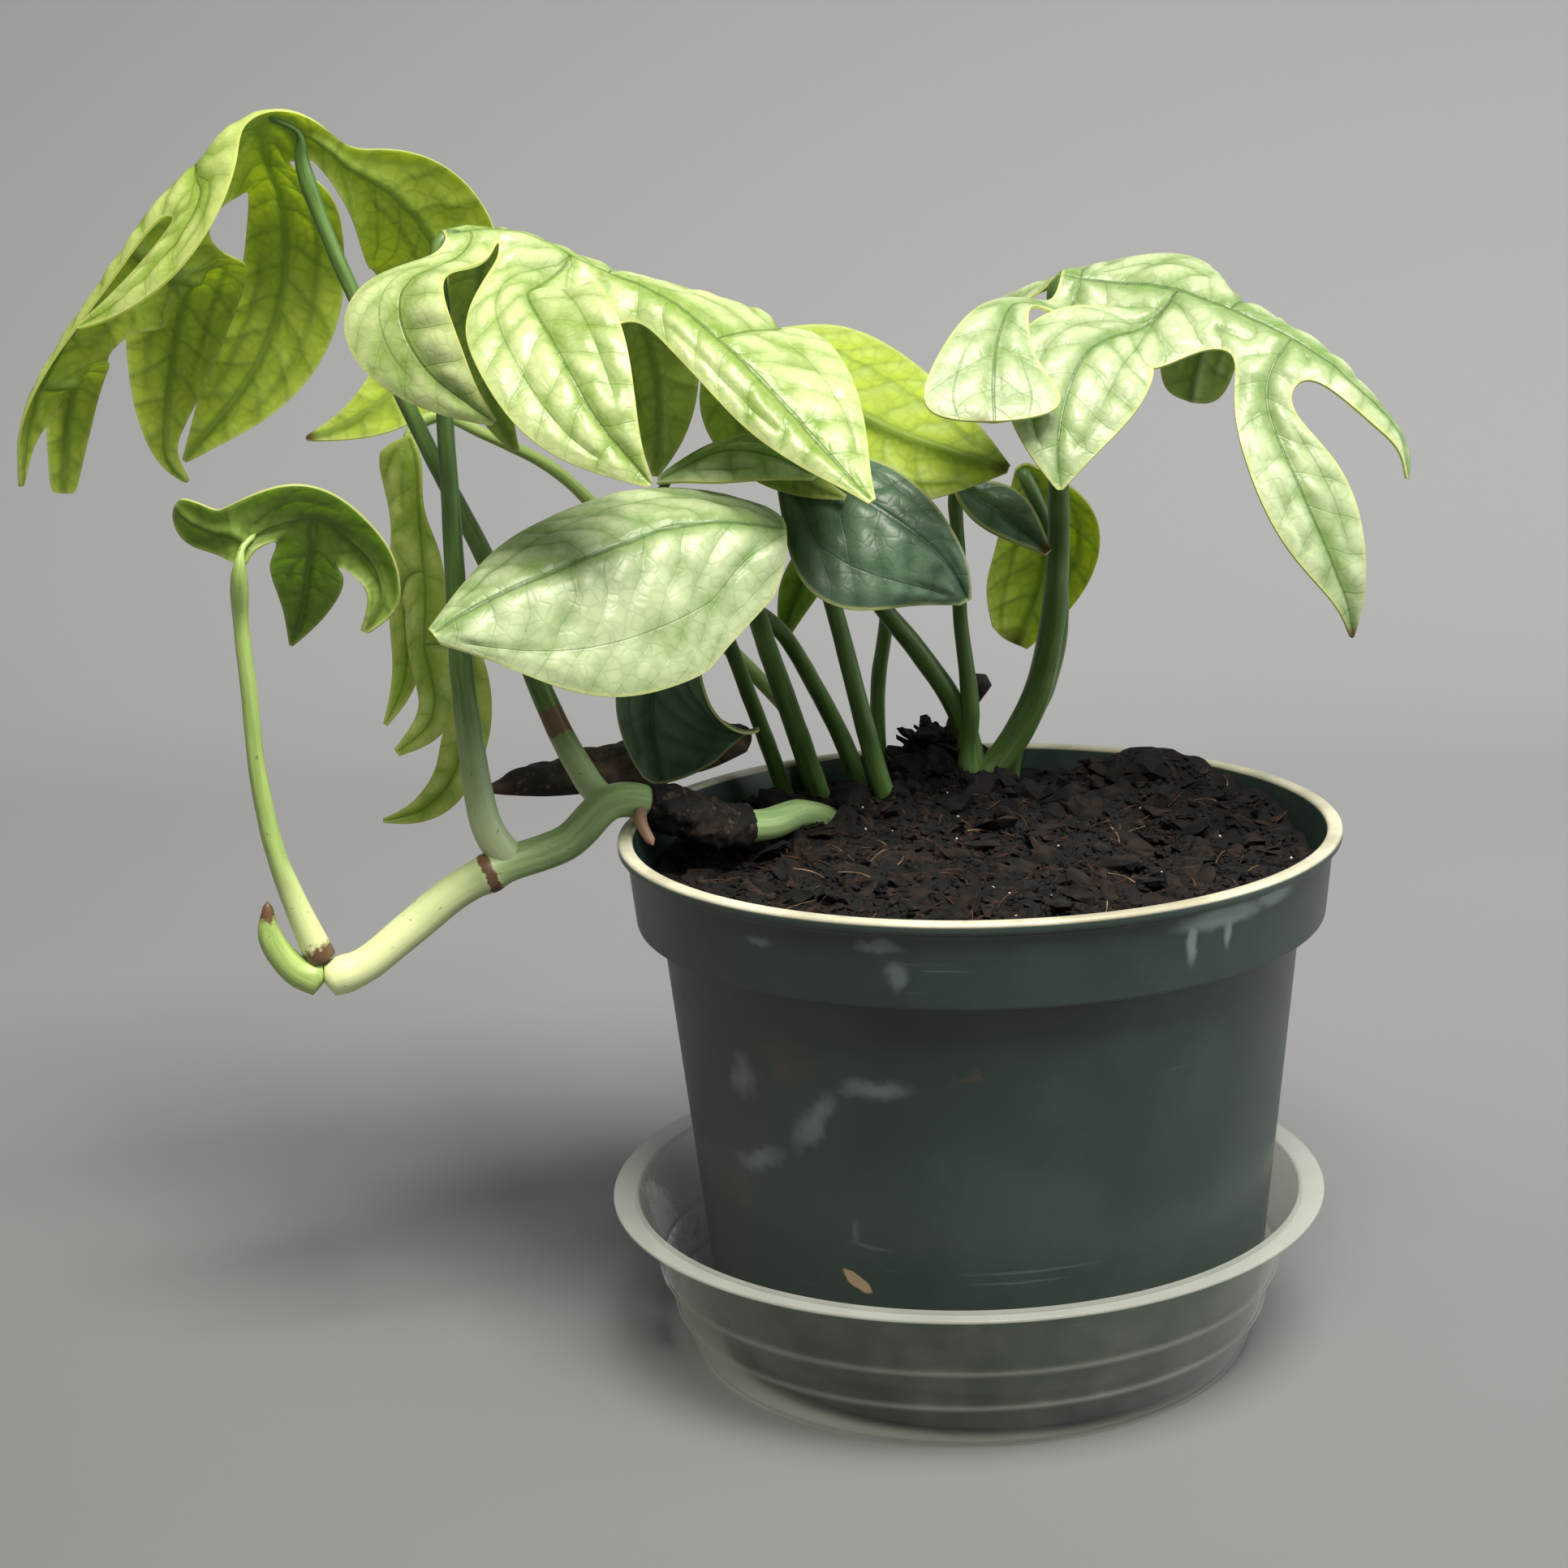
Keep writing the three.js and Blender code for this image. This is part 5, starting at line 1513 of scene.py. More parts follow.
@dataclass(frozen=True)
class Litter:
    """Loose bits on the mix: how many there are, and how long, wide and thick they are."""

    name: str
    per_cm2: float
    smallest: tuple[float, float, float]
    largest: tuple[float, float, float]
    dark: str
    light: str
    seed: int
    shape: Shape = Shape.LUMP
    fineness: int = 1
    ragged: float = 2.4
    behind: float = -90.0  # they lie only further back than this
    above: float = 106.5
    within: float = 73.5  # of the pot's axis
    roughness: float = 0.9

    def material(self) -> bpy.types.Material:
        """The bits' material, which changes from bit to bit."""
        material, tree = new_material(self.name)
        tone = add(tree, STEP, add(tree, NOISE, add(tree, PLACE), 240.0, 4.0), 0.4, 0.68)
        coat(tree, add(tree, MIX, tone, self.dark, self.light), self.roughness, None, {"Specular IOR Level": 0.3})
        return material

    def build(self, ground: bpy.types.Mesh, tree: bpy.types.NodeTree) -> bpy.types.Object:
        """Spreads the bits.

        Args:
            ground: the mesh that they lie on.
            tree: the Geometry Nodes tree that spreads them.

        Returns:
            The piece that holds them.
        """
        host = new_object(self.name, ground.copy())
        modifier = host.modifiers.new("spread", "NODES")
        modifier.node_group = tree
        values = {
            "Density": self.per_cm2 / 1e-4,
            "Seed": self.seed,
            "Smallest": [c * MM for c in self.smallest],
            "Largest": [c * MM for c in self.largest],
            "Behind": self.behind * MM,
            "Above": self.above * MM,
            "Within": self.within * MM,
            "Thread": self.shape.value,
            "Fineness": self.fineness,
            "Raggedness": self.ragged * MM,
            "Material": self.material(),
        }
        for socket in tree.interface.items_tree:
            if socket.name in values:
                modifier[socket.identifier] = values[socket.name]
        graph = bpy.context.evaluated_depsgraph_get()
        mesh = bpy.data.meshes.new_from_object(host.evaluated_get(graph))
        host.modifiers.remove(modifier)
        bpy.data.objects.remove(host)
        return place_piece(self.name, mesh, "potting_mix")


LITTER = (
    Litter("peat_crumbs", 22.0, (0.9, 0.8, 0.6), (2.8, 2.3, 2.0), "#060504", "#1c130f", 11),
    Litter("bark_chips", 3.0, (2.5, 1.2, 0.8), (8.0, 3.6, 2.2), "#0a0706", "#2b1d16", 12),
    Litter(
        "bark_flakes", 0.6, (8.0, 4.0, 1.5), (15.0, 8.0, 3.4), "#0a0806", "#231812", 13, fineness=2, ragged=5.0,
        within=69.0,
    ),
    Litter(
        "peat_clods", 1.2, (6.0, 5.0, 4.0), (13.0, 10.0, 9.0), "#070504", "#1c130f", 14, fineness=2, ragged=6.0,
        behind=36.0, within=70.0,
    ),
    Litter("red_fibres", 2.0, (3.0, 3.0, 3.0), (9.0, 9.0, 7.0), "#2b1b15", "#6b422f", 15, Shape.THREAD, ragged=0.0),
    Litter(
        "pale_fibres", 0.3, (4.0, 4.0, 4.0), (11.0, 11.0, 7.0), "#5a4634", "#927a5c", 16, Shape.THREAD, ragged=0.0
    ),
    Litter("perlite_grains", 0.5, (0.4, 0.4, 0.4), (1.1, 1.0, 0.9), "#a8a398", "#dedad0", 17, ragged=0.4),
)


def place_piece(name: str, mesh: bpy.types.Mesh, slot: str, *nodes: str) -> bpy.types.Object:
    """Puts a finished mesh on the part and hides the solids that it stands for.

    Args:
        name: the piece's name.
        mesh: its mesh.
        slot: the record's material slot that its finish comes from; not used.
        nodes: the solids that it stands for.

    Returns:
        The piece.
    """
    piece = new_object(name, mesh)
    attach(piece, "root")
    if nodes:
        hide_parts(*nodes)
    LOG.info("%s: %d faces", name, len(mesh.polygons))
    return piece


SILVER = LeafFinish("silver_blade", "#86a460", "#cfdcb0", "#527240", "#b4c977", "#c8de62", "#6f9432", roughness=0.32)
YOUNG = LeafFinish("young_blade", "#8cab4c", "#d9e6a8", "#56782c", "#b9ce6a", "#cfe260", "#6f9228", roughness=0.28)
# Partly painted light: a brighter, yellower copy of the leaf colours for the backlit and directly lit leaves; the
# stronger light through them is real translucency.
PAINTED_LIT = LeafFinish("bright_blade", "#9fba49", "#dde89a", "#6b8b38", "#bdd356", "#e3f252", "#7d9f22", through=0.52)
GREEN = LeafFinish("green_blade", "#6b8f3c", "#98b660", "#4c6e2c", "#93b04e", "#bbdc42", "#648624", through=0.5)
# Painted shade: a darker copy of the leaf colours for the leaves that sit in the shade of others.
PAINTED_SHADE = LeafFinish("shaded_blade", "#3c5a40", "#6c866c", "#304a34", "#5d7a4a", "#7fa03c", "#43602a")
VINE = StemFinish("vine_skin", "#86a36a", "#a6c07e", "#dfe7ab")
PALE = StemFinish("pale_stalk", "#93ae5c", "#adc672", "#dfe8a6")
STALK = StemFinish("green_stalk", "#445f2c", "#5d7c3a", "#b3c290")
STUB = StemFinish("dry_stub", "#1d1814", "#3a2f27", "#574a3d", roughness=0.8)
ROOT = StemFinish("root_bark", "#8a6a55", "#9c7d66", "#b89b80", roughness=0.7)
DEAD = DryFinish("dead_blade")
PAPER = DryFinish("dry_sheath", "#14100d", "#3a3029", "#6d5b4a")

BLADES = {
    "leaf_far_left": (PAINTED_LIT, "bright_leaf"),
    "leaf_upper_front": (YOUNG, "silver_leaf"),
    "leaf_upper_back": (PAINTED_LIT, "bright_leaf"),
    "leaf_broad_front": (SILVER, "silver_leaf"),
    "leaf_hanging_dark": (PAINTED_SHADE, "dark_leaf"),
    "leaf_folded": (SILVER, "silver_leaf"),
    "leaf_dark_silver": (PAINTED_SHADE, "dark_leaf"),
    "leaf_small_dark": (PAINTED_SHADE, "dark_leaf"),
    "leaf_backlit": (PAINTED_LIT, "bright_leaf"),
    "leaf_small_green": (GREEN, "green_leaf"),
    "leaf_right": (SILVER, "silver_leaf"),
    "leaf_curled": (GREEN, "green_leaf"),
    "leaf_hanging": (PAINTED_LIT, "bright_leaf"),
    "dead_leaf": (DEAD, "dead_leaf"),
}


LEAVES = (
    Leaf(
        "leaf_far_left", scorch=((-159, 44, 211, 2.5),),
        rib=[
            (-151, 28, 277), (-151, 25, 284), (-155, 21, 288), (-162, 17, 286), (-174, 13, 277),
            (-184, 10, 267), (-196, 8, 251), (-207, 8, 237), (-216, 9, 221), (-219, 11, 206),
        ],
        face=[
            (0, 0.9, 0.4), (-0.2, 0.5, 0.8), (-0.4, 0.1, 0.9), (-0.5, 0.1, 0.85), (-0.65, 0.1, 0.7),
            (-0.8, 0.1, 0.5), (-0.85, 0.1, 0.4), (-0.9, 0.1, 0.35), (-0.9, 0.1, 0.3),
        ],
        left=Half([2, 4, 6, 7, 6, 5, 4, 1], [0, -10, -20, -10, 0], [-10, -30, -30, 0]),
        right=Half([5, 9, 12, 12, 12, 10, 6, 1], [0, -20, -50, -50, -30, -10], [-10, -30, -20]), steps=20,
        lobes=(
            Lobe(
                Side.LEFT, 0, 0.1, [3, 9, 23, 28, 24, 15, 8, 1], [0.5, 4, 9, 10, 10, 9, 6, 0.5],
                rib=[
                    (-146, 31, 276), (-137, 39, 275), (-127, 46, 269), (-119, 50, 259), (-118, 50, 246),
                    (-126, 48, 229), (-141, 46, 216), (-159, 44, 211),
                ],
                face=[
                    (-0.1, 0.9, 0.4), (-0.3, 0.9, 0.4), (0.2, 0.9, 0.3), (0.4, 0.9, 0), (0.3, 0.9, -0.3),
                    (0.2, 0.8, -0.6),
                ],
                blend=0.12,
            ),
            Lobe(
                Side.LEFT, 0.2, 0.4, [10, 10, 9, 6, 1], [8, 8, 7, 5, 0.5],
                rib=[(-167, 5, 274), (-172, -1, 263), (-181, -4, 253), (-190, -4, 247), (-198, -3, 243)],
                face=[(-0.5, -0.6, 0.6)],
            ),
            Lobe(
                Side.RIGHT, 0, 0.3, [12, 13, 14, 15, 13, 8, 1], [6, 8, 9, 11, 12, 8, 0.5],
                rib=[(-159, 40, 272), (-162, 50, 259), (-164, 54, 244), (-172, 54, 228), (-191, 50, 206)],
                face=[(0.1, 0.8, 0.6), (0, 1, 0.2), (0, 1, 0)], blend=0.15,
            ),
            Lobe(
                Side.RIGHT, 0.4, 0.6, [9, 11, 13, 11, 6, 1], [9, 12, 13, 12, 7, 0.5],
                rib=[(-181, 40, 257), (-188, 47, 243), (-193, 50, 225), (-197, 50, 210), (-190, 48, 201)],
                face=[(-0.1, 0.8, 0.6), (-0.1, 1, 0.2), (0, 1, 0)],
            ),
            Lobe(
                Side.RIGHT, 0.7, 0.9, [7, 7, 6, 3], [6, 6, 5, 3],
                rib=[(-206, 21, 238), (-211, 26, 222), (-214, 26, 202)], face=[(-0.3, 0.9, 0.3)],
            ),
        ),
    ),
    Leaf(
        "leaf_upper_front",
        rib=[
            (-114, -5, 261), (-99, 4, 261), (-82, 8, 252), (-68, 4, 246), (-52, -6, 234), (-34, -16, 215),
            (-21, -25, 202),
        ],
        face=[(0, -0.6, 0.8), (0, -0.5, 0.9), (0.2, -0.5, 0.9), (0.4, -0.7, 0.6), (0.4, -0.8, 0.5)],
        left=Half([3, 8, 10, 15, 23, 26, 22, 12, 1], [-10, -25, -10, 0, 0], [-50, -20, 0]),
        right=Half([2, 3, 4, 6, 9, 10, 10, 6, 1], [-10], [-20, -40, -20]), steps=20,
        lobes=(
            Lobe(
                Side.RIGHT, 0, 0.1, [4, 14, 18, 17, 10, 1], [4, 7, 8, 8, 6, 0.5],
                rib=[(-117, -15, 259), (-120, -25, 252), (-116, -31, 241), (-109, -32, 229), (-101, -30, 222)],
                face=[(0, -0.7, 0.7), (-0.3, -0.9, 0.4), (-0.2, -1, 0.1), (0, -1, -0.1)],
            ),
            Lobe(
                Side.RIGHT, 0.1, 0.4, [10, 15, 17, 18, 15, 1], [14, 15, 16, 14, 8, 0.5],
                rib=[(-101, -8, 255), (-93, -20, 246), (-84, -31, 234), (-76, -38, 221), (-67, -40, 209)],
                face=[(0.1, -0.7, 0.7), (0.2, -0.9, 0.3), (0.2, -1, 0)],
            ),
            Lobe(
                Side.LEFT, 0.05, 0.15, [5, 7, 8, 6, 1], [5, 7, 8, 6, 0.5],
                rib=[(-110, 16, 254), (-111, 24, 239), (-111, 24, 222), (-104, 18, 210)],
                face=[(-0.2, 0.9, 0.3), (0, 1, 0)],
            ),
            Lobe(
                Side.LEFT, 0.25, 0.4, [9, 13, 13, 9, 1], [7, 9, 9, 7, 0.5],
                rib=[(-78, 24, 246), (-71, 30, 232), (-70, 30, 216), (-73, 26, 202)],
                face=[(0, 0.9, 0.3), (0, 1, 0)],
            ),
            Lobe(
                Side.LEFT, 0.5, 0.65, [6, 7, 8, 6, 1], [6, 7, 7, 6, 0.5],
                rib=[(-60, 26, 228), (-53, 24, 213), (-41, 14, 203), (-28, 5, 199)],
                face=[(0.1, 0.9, 0.1), (0.2, 0.8, -0.5)],
            ),
        ),
    ),
    Leaf(
        "leaf_upper_back", scorch=((9, 22, 202, 3.0),),
        rib=[
            (-56, 46, 229), (-44, 42, 223), (-31, 36, 217), (-19, 31, 211), (-8, 27, 207), (2, 24, 204),
            (9, 22, 202),
        ],
        face=[(-0.1, 0.8, -0.55)], left=Half([2, 16, 20, 20, 18, 12, 1], [8], [10]),
        right=Half([6, 22, 24, 22, 18, 12, 1], [8], [10]), wave=1,
    ),
    Leaf(
        "leaf_broad_front",
        rib=[
            (-41, -5, 194), (-53, -10, 197), (-66, -14, 197), (-80, -21, 193), (-93, -28, 189),
            (-107, -34, 184), (-116, -38, 178),
        ],
        face=[(-0.1, -0.5, 0.85), (-0.1, -0.55, 0.8), (-0.3, -0.6, 0.75)],
        left=Half([17, 30, 35, 36, 32, 22, 3], [-15], [-50]),
        right=Half([9, 19, 24, 26, 22, 14, 2], [5], [-40]), wave=1,
    ),
    Leaf(
        "leaf_hanging_dark",
        rib=[(-64, 20, 167), (-72, 24, 162), (-78, 30, 150), (-78, 31, 138), (-75, 31, 127)],
        face=[(0, -0.7, 0.6), (0, -1, 0.2), (0.1, -1, 0)], left=Half([8, 24, 31, 32, 29, 23, 13], [5], [10]),
        right=Half([5, 12, 14, 14, 12, 9, 5], [-20], [-30]),
    ),
    Leaf(
        "leaf_folded", rib=[(-71, 12, 203), (-63, 10, 208), (-54, 6, 211), (-43, 1, 209), (-34, -4, 205)],
        face=[(0, -0.3, 0.95)], left=Half([2, 8, 11, 8, 2], [0]),
        right=Half([2, 9, 12, 8, 2], [0, -20, -20, 0]),
    ),
    Leaf(
        "leaf_dark_silver", rib=[(-43, 20, 204), (-29, 10, 201), (-16, 4, 194), (-5, 4, 184), (-1, 8, 174)],
        face=[(0, -0.85, 0.5), (0, -0.9, 0.4)], left=Half([3, 10, 12, 11, 9, 5, 1], [-10], [-20]),
        right=Half([3, 16, 25, 27, 24, 15, 2], [10], [-20]), wave=1,
    ),
    Leaf(
        "leaf_small_dark", scorch=((18, 30, 181, 2.5),), rib=[(-3, 42, 196), (7, 36, 190), (18, 30, 181)],
        face=[(0, -0.6, 0.8)], left=Half([2, 7, 8, 5, 1], [10]), right=Half([2, 7, 8, 5, 1], [10]),
    ),
    Leaf(
        "leaf_backlit", scorch=((9, 78, 149, 4.5),),
        rib=[(13, 60, 198), (19, 70, 189), (20, 76, 177), (17, 79, 163), (11, 78, 150)],
        face=[(0, 0.7, 0.7), (0, 1, 0.1)], left=Half([2, 11, 14, 15, 16, 8], [-10], [-20]),
        right=Half([2, 11, 14, 13, 9, 3], [-10], [-20]), wave=0.8,
    ),
    Leaf(
        "leaf_small_green", rib=[(-30, 55, 187), (-37, 57, 178), (-43, 58, 168), (-47, 59, 156)],
        face=[(-0.3, -0.9, 0)], left=Half([2, 5, 6, 4, 1], [10]), right=Half([2, 5, 6, 4, 1], [10]),
    ),
    Leaf(
        "leaf_right", scorch=((4, -13, 215, 3.0), (84, -6, 165, 3.5)),
        rib=[
            (22, 33, 245), (34, 32, 243), (46, 28, 242), (62, 20, 236), (76, 14, 229), (90, 8, 217),
            (97, 4, 207), (97, 2, 200),
        ],
        face=[(0, -0.5, 0.85), (0.1, -0.5, 0.85), (0.4, -0.5, 0.75), (0.7, -0.4, 0.6), (0.9, -0.4, 0.1)],
        left=Half([3, 10, 17, 16, 11, 8, 7, 7, 7, 6, 5, 1], [0, 10, 10, 0, 0, 0], [-30]),
        right=Half([2, 7, 11, 11, 8, 7, 6, 1], [-5], [-30]), steps=22,
        lobes=(
            Lobe(
                Side.RIGHT, 0, 0.09, [2, 3, 6, 9, 13, 20], [2, 2, 4, 8, 14, 23],
                rib=[(12, 16, 243), (7, 6, 236), (4, -2, 228), (5, -12, 216)],
                face=[(-0.2, -0.6, 0.8), (-0.2, -0.8, 0.5), (0.1, -0.8, 0.5), (0.1, -0.8, 0.5)],
            ),
            Lobe(
                Side.RIGHT, 0.14, 0.41, [11, 13, 15, 16, 12, 1], [12, 17, 19, 18, 12, 0.5],
                rib=[(28, 17, 237), (23, 5, 225), (20, -5, 213), (20, -8, 201)],
                face=[(0, -0.8, 0.6), (0, -0.95, 0.25), (0, -1, 0)], blend=0.35,
            ),
            Lobe(
                Side.RIGHT, 0.5, 0.64, [6, 7, 9, 10, 9, 4, 0.5], [6, 9, 11, 12, 10, 6, 0.5],
                rib=[(65, 6, 221), (69, -2, 208), (75, -8, 193), (82, -10, 179), (84, -6, 166)],
                face=[(0.3, -0.8, 0.5), (0.3, -0.95, 0.2), (0.5, -0.8, 0)],
            ),
            Lobe(
                Side.LEFT, 0, 0.09, [2, 5, 7, 6, 1], [1, 4, 7, 6, 0.5],
                rib=[(14, 44, 239), (6, 50, 236), (-2, 52, 231)],
                face=[(0, 0, 1), (-0.4, -0.3, 0.9), (-0.7, -0.5, 0.5)],
            ),
            Lobe(
                Side.LEFT, 0.32, 0.5, [7, 10, 10, 8], [7, 10, 10, 8],
                rib=[(54, 46, 230), (55, 50, 220), (53, 50, 213)], face=[(0.1, 0.9, 0.3), (0, 1, 0)],
            ),
        ),
    ),
    Leaf(
        "leaf_curled",
        rib=[
            (-159, -30, 193), (-158, -29, 197), (-153, -25, 201), (-144, -20, 202), (-136, -17, 196),
            (-131, -16, 189), (-130, -17, 183), (-135, -18, 175),
        ],
        face=[(-0.2, 0.9, 0.3), (0, 0.8, 0.6), (0.1, 0.8, 0.6), (0.3, 0.8, 0.4), (0.3, 0.9, 0.1)],
        left=Half([2, 4, 5, 7, 6, 4, 1], [-30], [-20]), right=Half([2, 10, 12, 8, 7, 5, 1], [0], [-10]),
        steps=14,
        lobes=(
            Lobe(
                Side.RIGHT, 0, 0.14, [4, 8, 8, 3], [4, 6, 7, 3],
                rib=[(-165, -28, 199), (-169, -30, 203), (-172, -29, 206)], face=[(-0.2, 0.7, 0.7)],
            ),
            Lobe(
                Side.LEFT, 0.21, 0.6, [10, 12, 11, 6, 0.5], [10, 11, 9, 5, 0.5],
                rib=[(-148, -8, 190), (-150, -2, 181), (-156, 0, 169)], face=[(0, 1, 0.2)],
            ),
        ),
    ),
    Leaf(
        "leaf_hanging",
        rib=[
            (-133, 38, 212), (-131, 37, 207), (-131, 36, 199), (-131, 34, 188), (-130, 31, 178),
            (-130, 29, 170), (-131, 27, 163), (-129, 26, 155), (-128, 25, 150), (-130, 24, 144),
            (-138, 23, 138),
        ],
        face=[(0, -0.6, 0.8), (-0.2, -1, 0.2), (-0.2, -1, 0), (-0.2, -1, 0)],
        left=Half([1, 1, 1, 4, 5, 5, 5, 5, 4, 1], [-10], [-20]),
        right=Half([9, 11, 9, 7, 7, 6, 5, 5, 4, 1], [-10], [-20]), steps=16,
        lobes=(
            Lobe(
                Side.RIGHT, 0.31, 0.5, [4, 4, 4, 3, 0.5], [4, 4, 4, 3, 0.5],
                rib=[(-137, 39, 166), (-137, 39, 156), (-139, 38, 149), (-143, 36, 142)], face=[(-0.2, -1, 0)],
            ),
            Lobe(
                Side.LEFT, 0.56, 0.7, [6, 6, 7, 6, 4, 0.5], [6, 6, 6, 5, 4, 0.5],
                rib=[
                    (-122, 36, 150), (-125, 40, 137), (-128, 42, 127), (-134, 43, 120), (-140, 42, 117),
                    (-146, 40, 117),
                ],
                face=[(0.2, -1, 0)],
            ),
        ),
    ),
    Leaf(
        "dead_leaf",
        rib=[(-119, 36, 126), (-103, 41, 129), (-88, 46, 130), (-75, 50, 132), (-64, 54, 134), (-56, 58, 134)],
        face=[(0, -0.5, 0.9)], left=Half([2, 6, 8, 9, 12, 8], [10], [-40, -70]),
        right=Half([2, 7, 8, 8, 9, 6], [-10], [-60, -40]), wave=1.2, crumple=1.6,
    ),
)

STEMS = (
    Stem(
        "vine_stem",
        path=[
            (-28, 46, 100), (-33, 41, 112), (-42, 33, 118), (-51, 20, 119), (-62, 14, 121), (-74, 6, 128),
            (-84, 2, 130), (-95, 0, 121), (-109, -5, 117), (-120, -8, 112), (-131, -12, 104), (-141, -16, 97),
            (-150, -18, 94),
        ],
        radius=[3.6, 3.8, 4, 4.2, 4.2, 4], finish=VINE,
        nodes=((0.42, 0.7, 2.5), (0.72, 0.6, 2.2), (0.97, 0.5, 3.0)), scars=((0.42, 1.2), (0.72, 1.0)),
        pale_end=60.0, slot="vine",
    ),
    Stem(
        "growth_bud", path=[(-150, -18, 94), (-156, -19, 97), (-161, -20, 105), (-161, -21, 114)],
        radius=[4, 3.4, 2.8, 0.9], finish=PALE, scars=((1.0, 4.0),), slot="pale_stem",
    ),
    Stem(
        "petiole_curled",
        path=[
            (-150, -17, 98), (-154, -19, 110), (-158, -22, 126), (-160, -24, 145), (-160, -26, 164),
            (-160, -28, 181), (-159, -30, 192.5),
        ],
        radius=[3.6, 2.4, 2.0, 1.8, 1.7], finish=PALE, scars=((0.0, 5.0),), pale_foot=30.0, slot="pale_stem",
        joins="leaf_curled",
    ),
    Stem(
        "petiole_upper_front",
        path=[
            (-107, -4, 117), (-112, -6, 126), (-115, -6, 149), (-116, -6, 168), (-116, -6, 187),
            (-116, -6, 205), (-116, -6, 223), (-115, -6, 241), (-114, -5, 261),
        ],
        radius=[4, 3.2, 2.7, 2.3, 2.0, 1.8, 1.7], finish=STALK, pale_foot=45.0, slot="stem",
        joins="leaf_upper_front",
    ),
    Stem(
        "petiole_far_left",
        path=[
            (-82, 3, 129), (-88, 9, 130), (-95, 13, 140), (-101, 16, 153), (-113, 20, 184), (-123, 22, 205),
            (-134, 24, 230), (-145, 26, 256), (-151, 28, 277),
        ],
        radius=[3.4, 2.8, 2.3, 2.0, 1.8, 1.7], finish=STALK, scars=((0.17, 3.5),), pale_foot=35.0, slot="stem",
        joins="leaf_far_left",
    ),
    Stem(
        "aerial_root", path=[(-78, 4, 129), (-77, -3, 126), (-74, -8, 122)], radius=[1.8, 1.5, 1.1],
        finish=ROOT, slot="root",
    ),
    Stem(
        "petiole_broad_front",
        path=[(-34, 58, 101), (-38, 53, 115), (-44, 36, 142), (-49, 14, 168), (-53, -6, 195)],
        radius=[3, 2.7, 2.4, 2.1], finish=STALK, slot="stem",
    ),
    Stem(
        "petiole_hanging_dark",
        path=[(-28, 60, 101), (-30, 60, 121), (-39, 45, 148), (-47, 32, 165), (-55, 23, 171), (-64, 20, 167)],
        radius=[2.6, 2.3, 2, 1.8], finish=STALK, slot="stem", joins="leaf_hanging_dark",
    ),
    Stem(
        "petiole_dark_silver",
        path=[(-19, 42, 101), (-21, 39, 115), (-26, 34, 138), (-34, 28, 175), (-43, 20, 204)],
        radius=[2.8, 2.4, 2.1, 1.8], finish=STALK, slot="stem", joins="leaf_dark_silver",
    ),
    Stem(
        "petiole_folded",
        path=[(-43, 50, 101), (-47, 51, 118), (-55, 41, 148), (-63, 27, 177), (-70.5, 13, 202)],
        radius=[2.2, 1.9, 1.6], finish=STALK, slot="stem", joins="leaf_folded",
    ),
    Stem(
        "petiole_small_green",
        path=[(-22, 63, 101), (-24, 66, 118), (-24, 66, 142), (-21, 62, 165), (-24, 57, 182), (-30, 55, 187)],
        radius=[2.4, 2, 1.8, 1.5], finish=STALK, slot="stem", joins="leaf_small_green",
    ),
    Stem(
        "petiole_hanging",
        path=[
            (-40, 61, 108), (-41, 63, 120), (-45, 66, 134), (-54, 64, 146), (-70, 58, 165), (-90, 50, 191),
            (-100, 46, 202), (-115, 42, 211), (-126, 40, 216), (-133, 38, 212),
        ],
        radius=[2.2, 1.9, 1.6, 1.3], finish=PALE, slot="pale_stem", joins="leaf_hanging",
    ),
    Stem(
        "petiole_right",
        path=[
            (-4, 58, 100), (0, 59, 117), (8, 60, 127), (15, 59, 140), (19, 55, 157), (21, 48, 180),
            (21, 42, 205), (22, 37, 228), (22, 33, 245),
        ],
        radius=[4, 3.8, 3.4, 2.9, 2.5, 2.2, 2.0], finish=STALK, pale_foot=26.0, slot="stem", joins="leaf_right",
    ),
    Stem(
        "petiole_backlit",
        path=[(8, 66, 101), (10, 69, 125), (18, 69, 140), (22, 65, 160), (19, 60, 182), (13, 60, 198)],
        radius=[2.4, 2.1, 1.8, 1.6], finish=STALK, slot="stem", joins="leaf_backlit",
    ),
    Stem(
        "petiole_small_dark",
        path=[(-1, 58, 114), (-2, 56, 128), (-1, 53, 139), (-3, 50, 163), (-3, 46, 179), (-3, 42, 196)],
        radius=[3, 2.4, 1.9, 1.7, 1.5], finish=STALK, slot="stem", joins="leaf_small_dark",
    ),
    Stem(
        "petiole_upper_back",
        path=[
            (0, 60, 120), (-2, 57, 132), (-6, 54, 142), (-14, 51, 155), (-22, 49, 166), (-38, 47, 194),
            (-56, 46, 229),
        ],
        radius=[3, 2.6, 2.2, 2, 1.8], finish=STALK, slot="stem", joins="leaf_upper_back",
    ),
    Stem(
        "old_stem_stub", path=[(-7, 70, 120), (-4, 70, 133), (3, 70, 144)], radius=[2.6, 2.6, 2.8], finish=STUB,
        slot="dry_sheath",
    ),
)


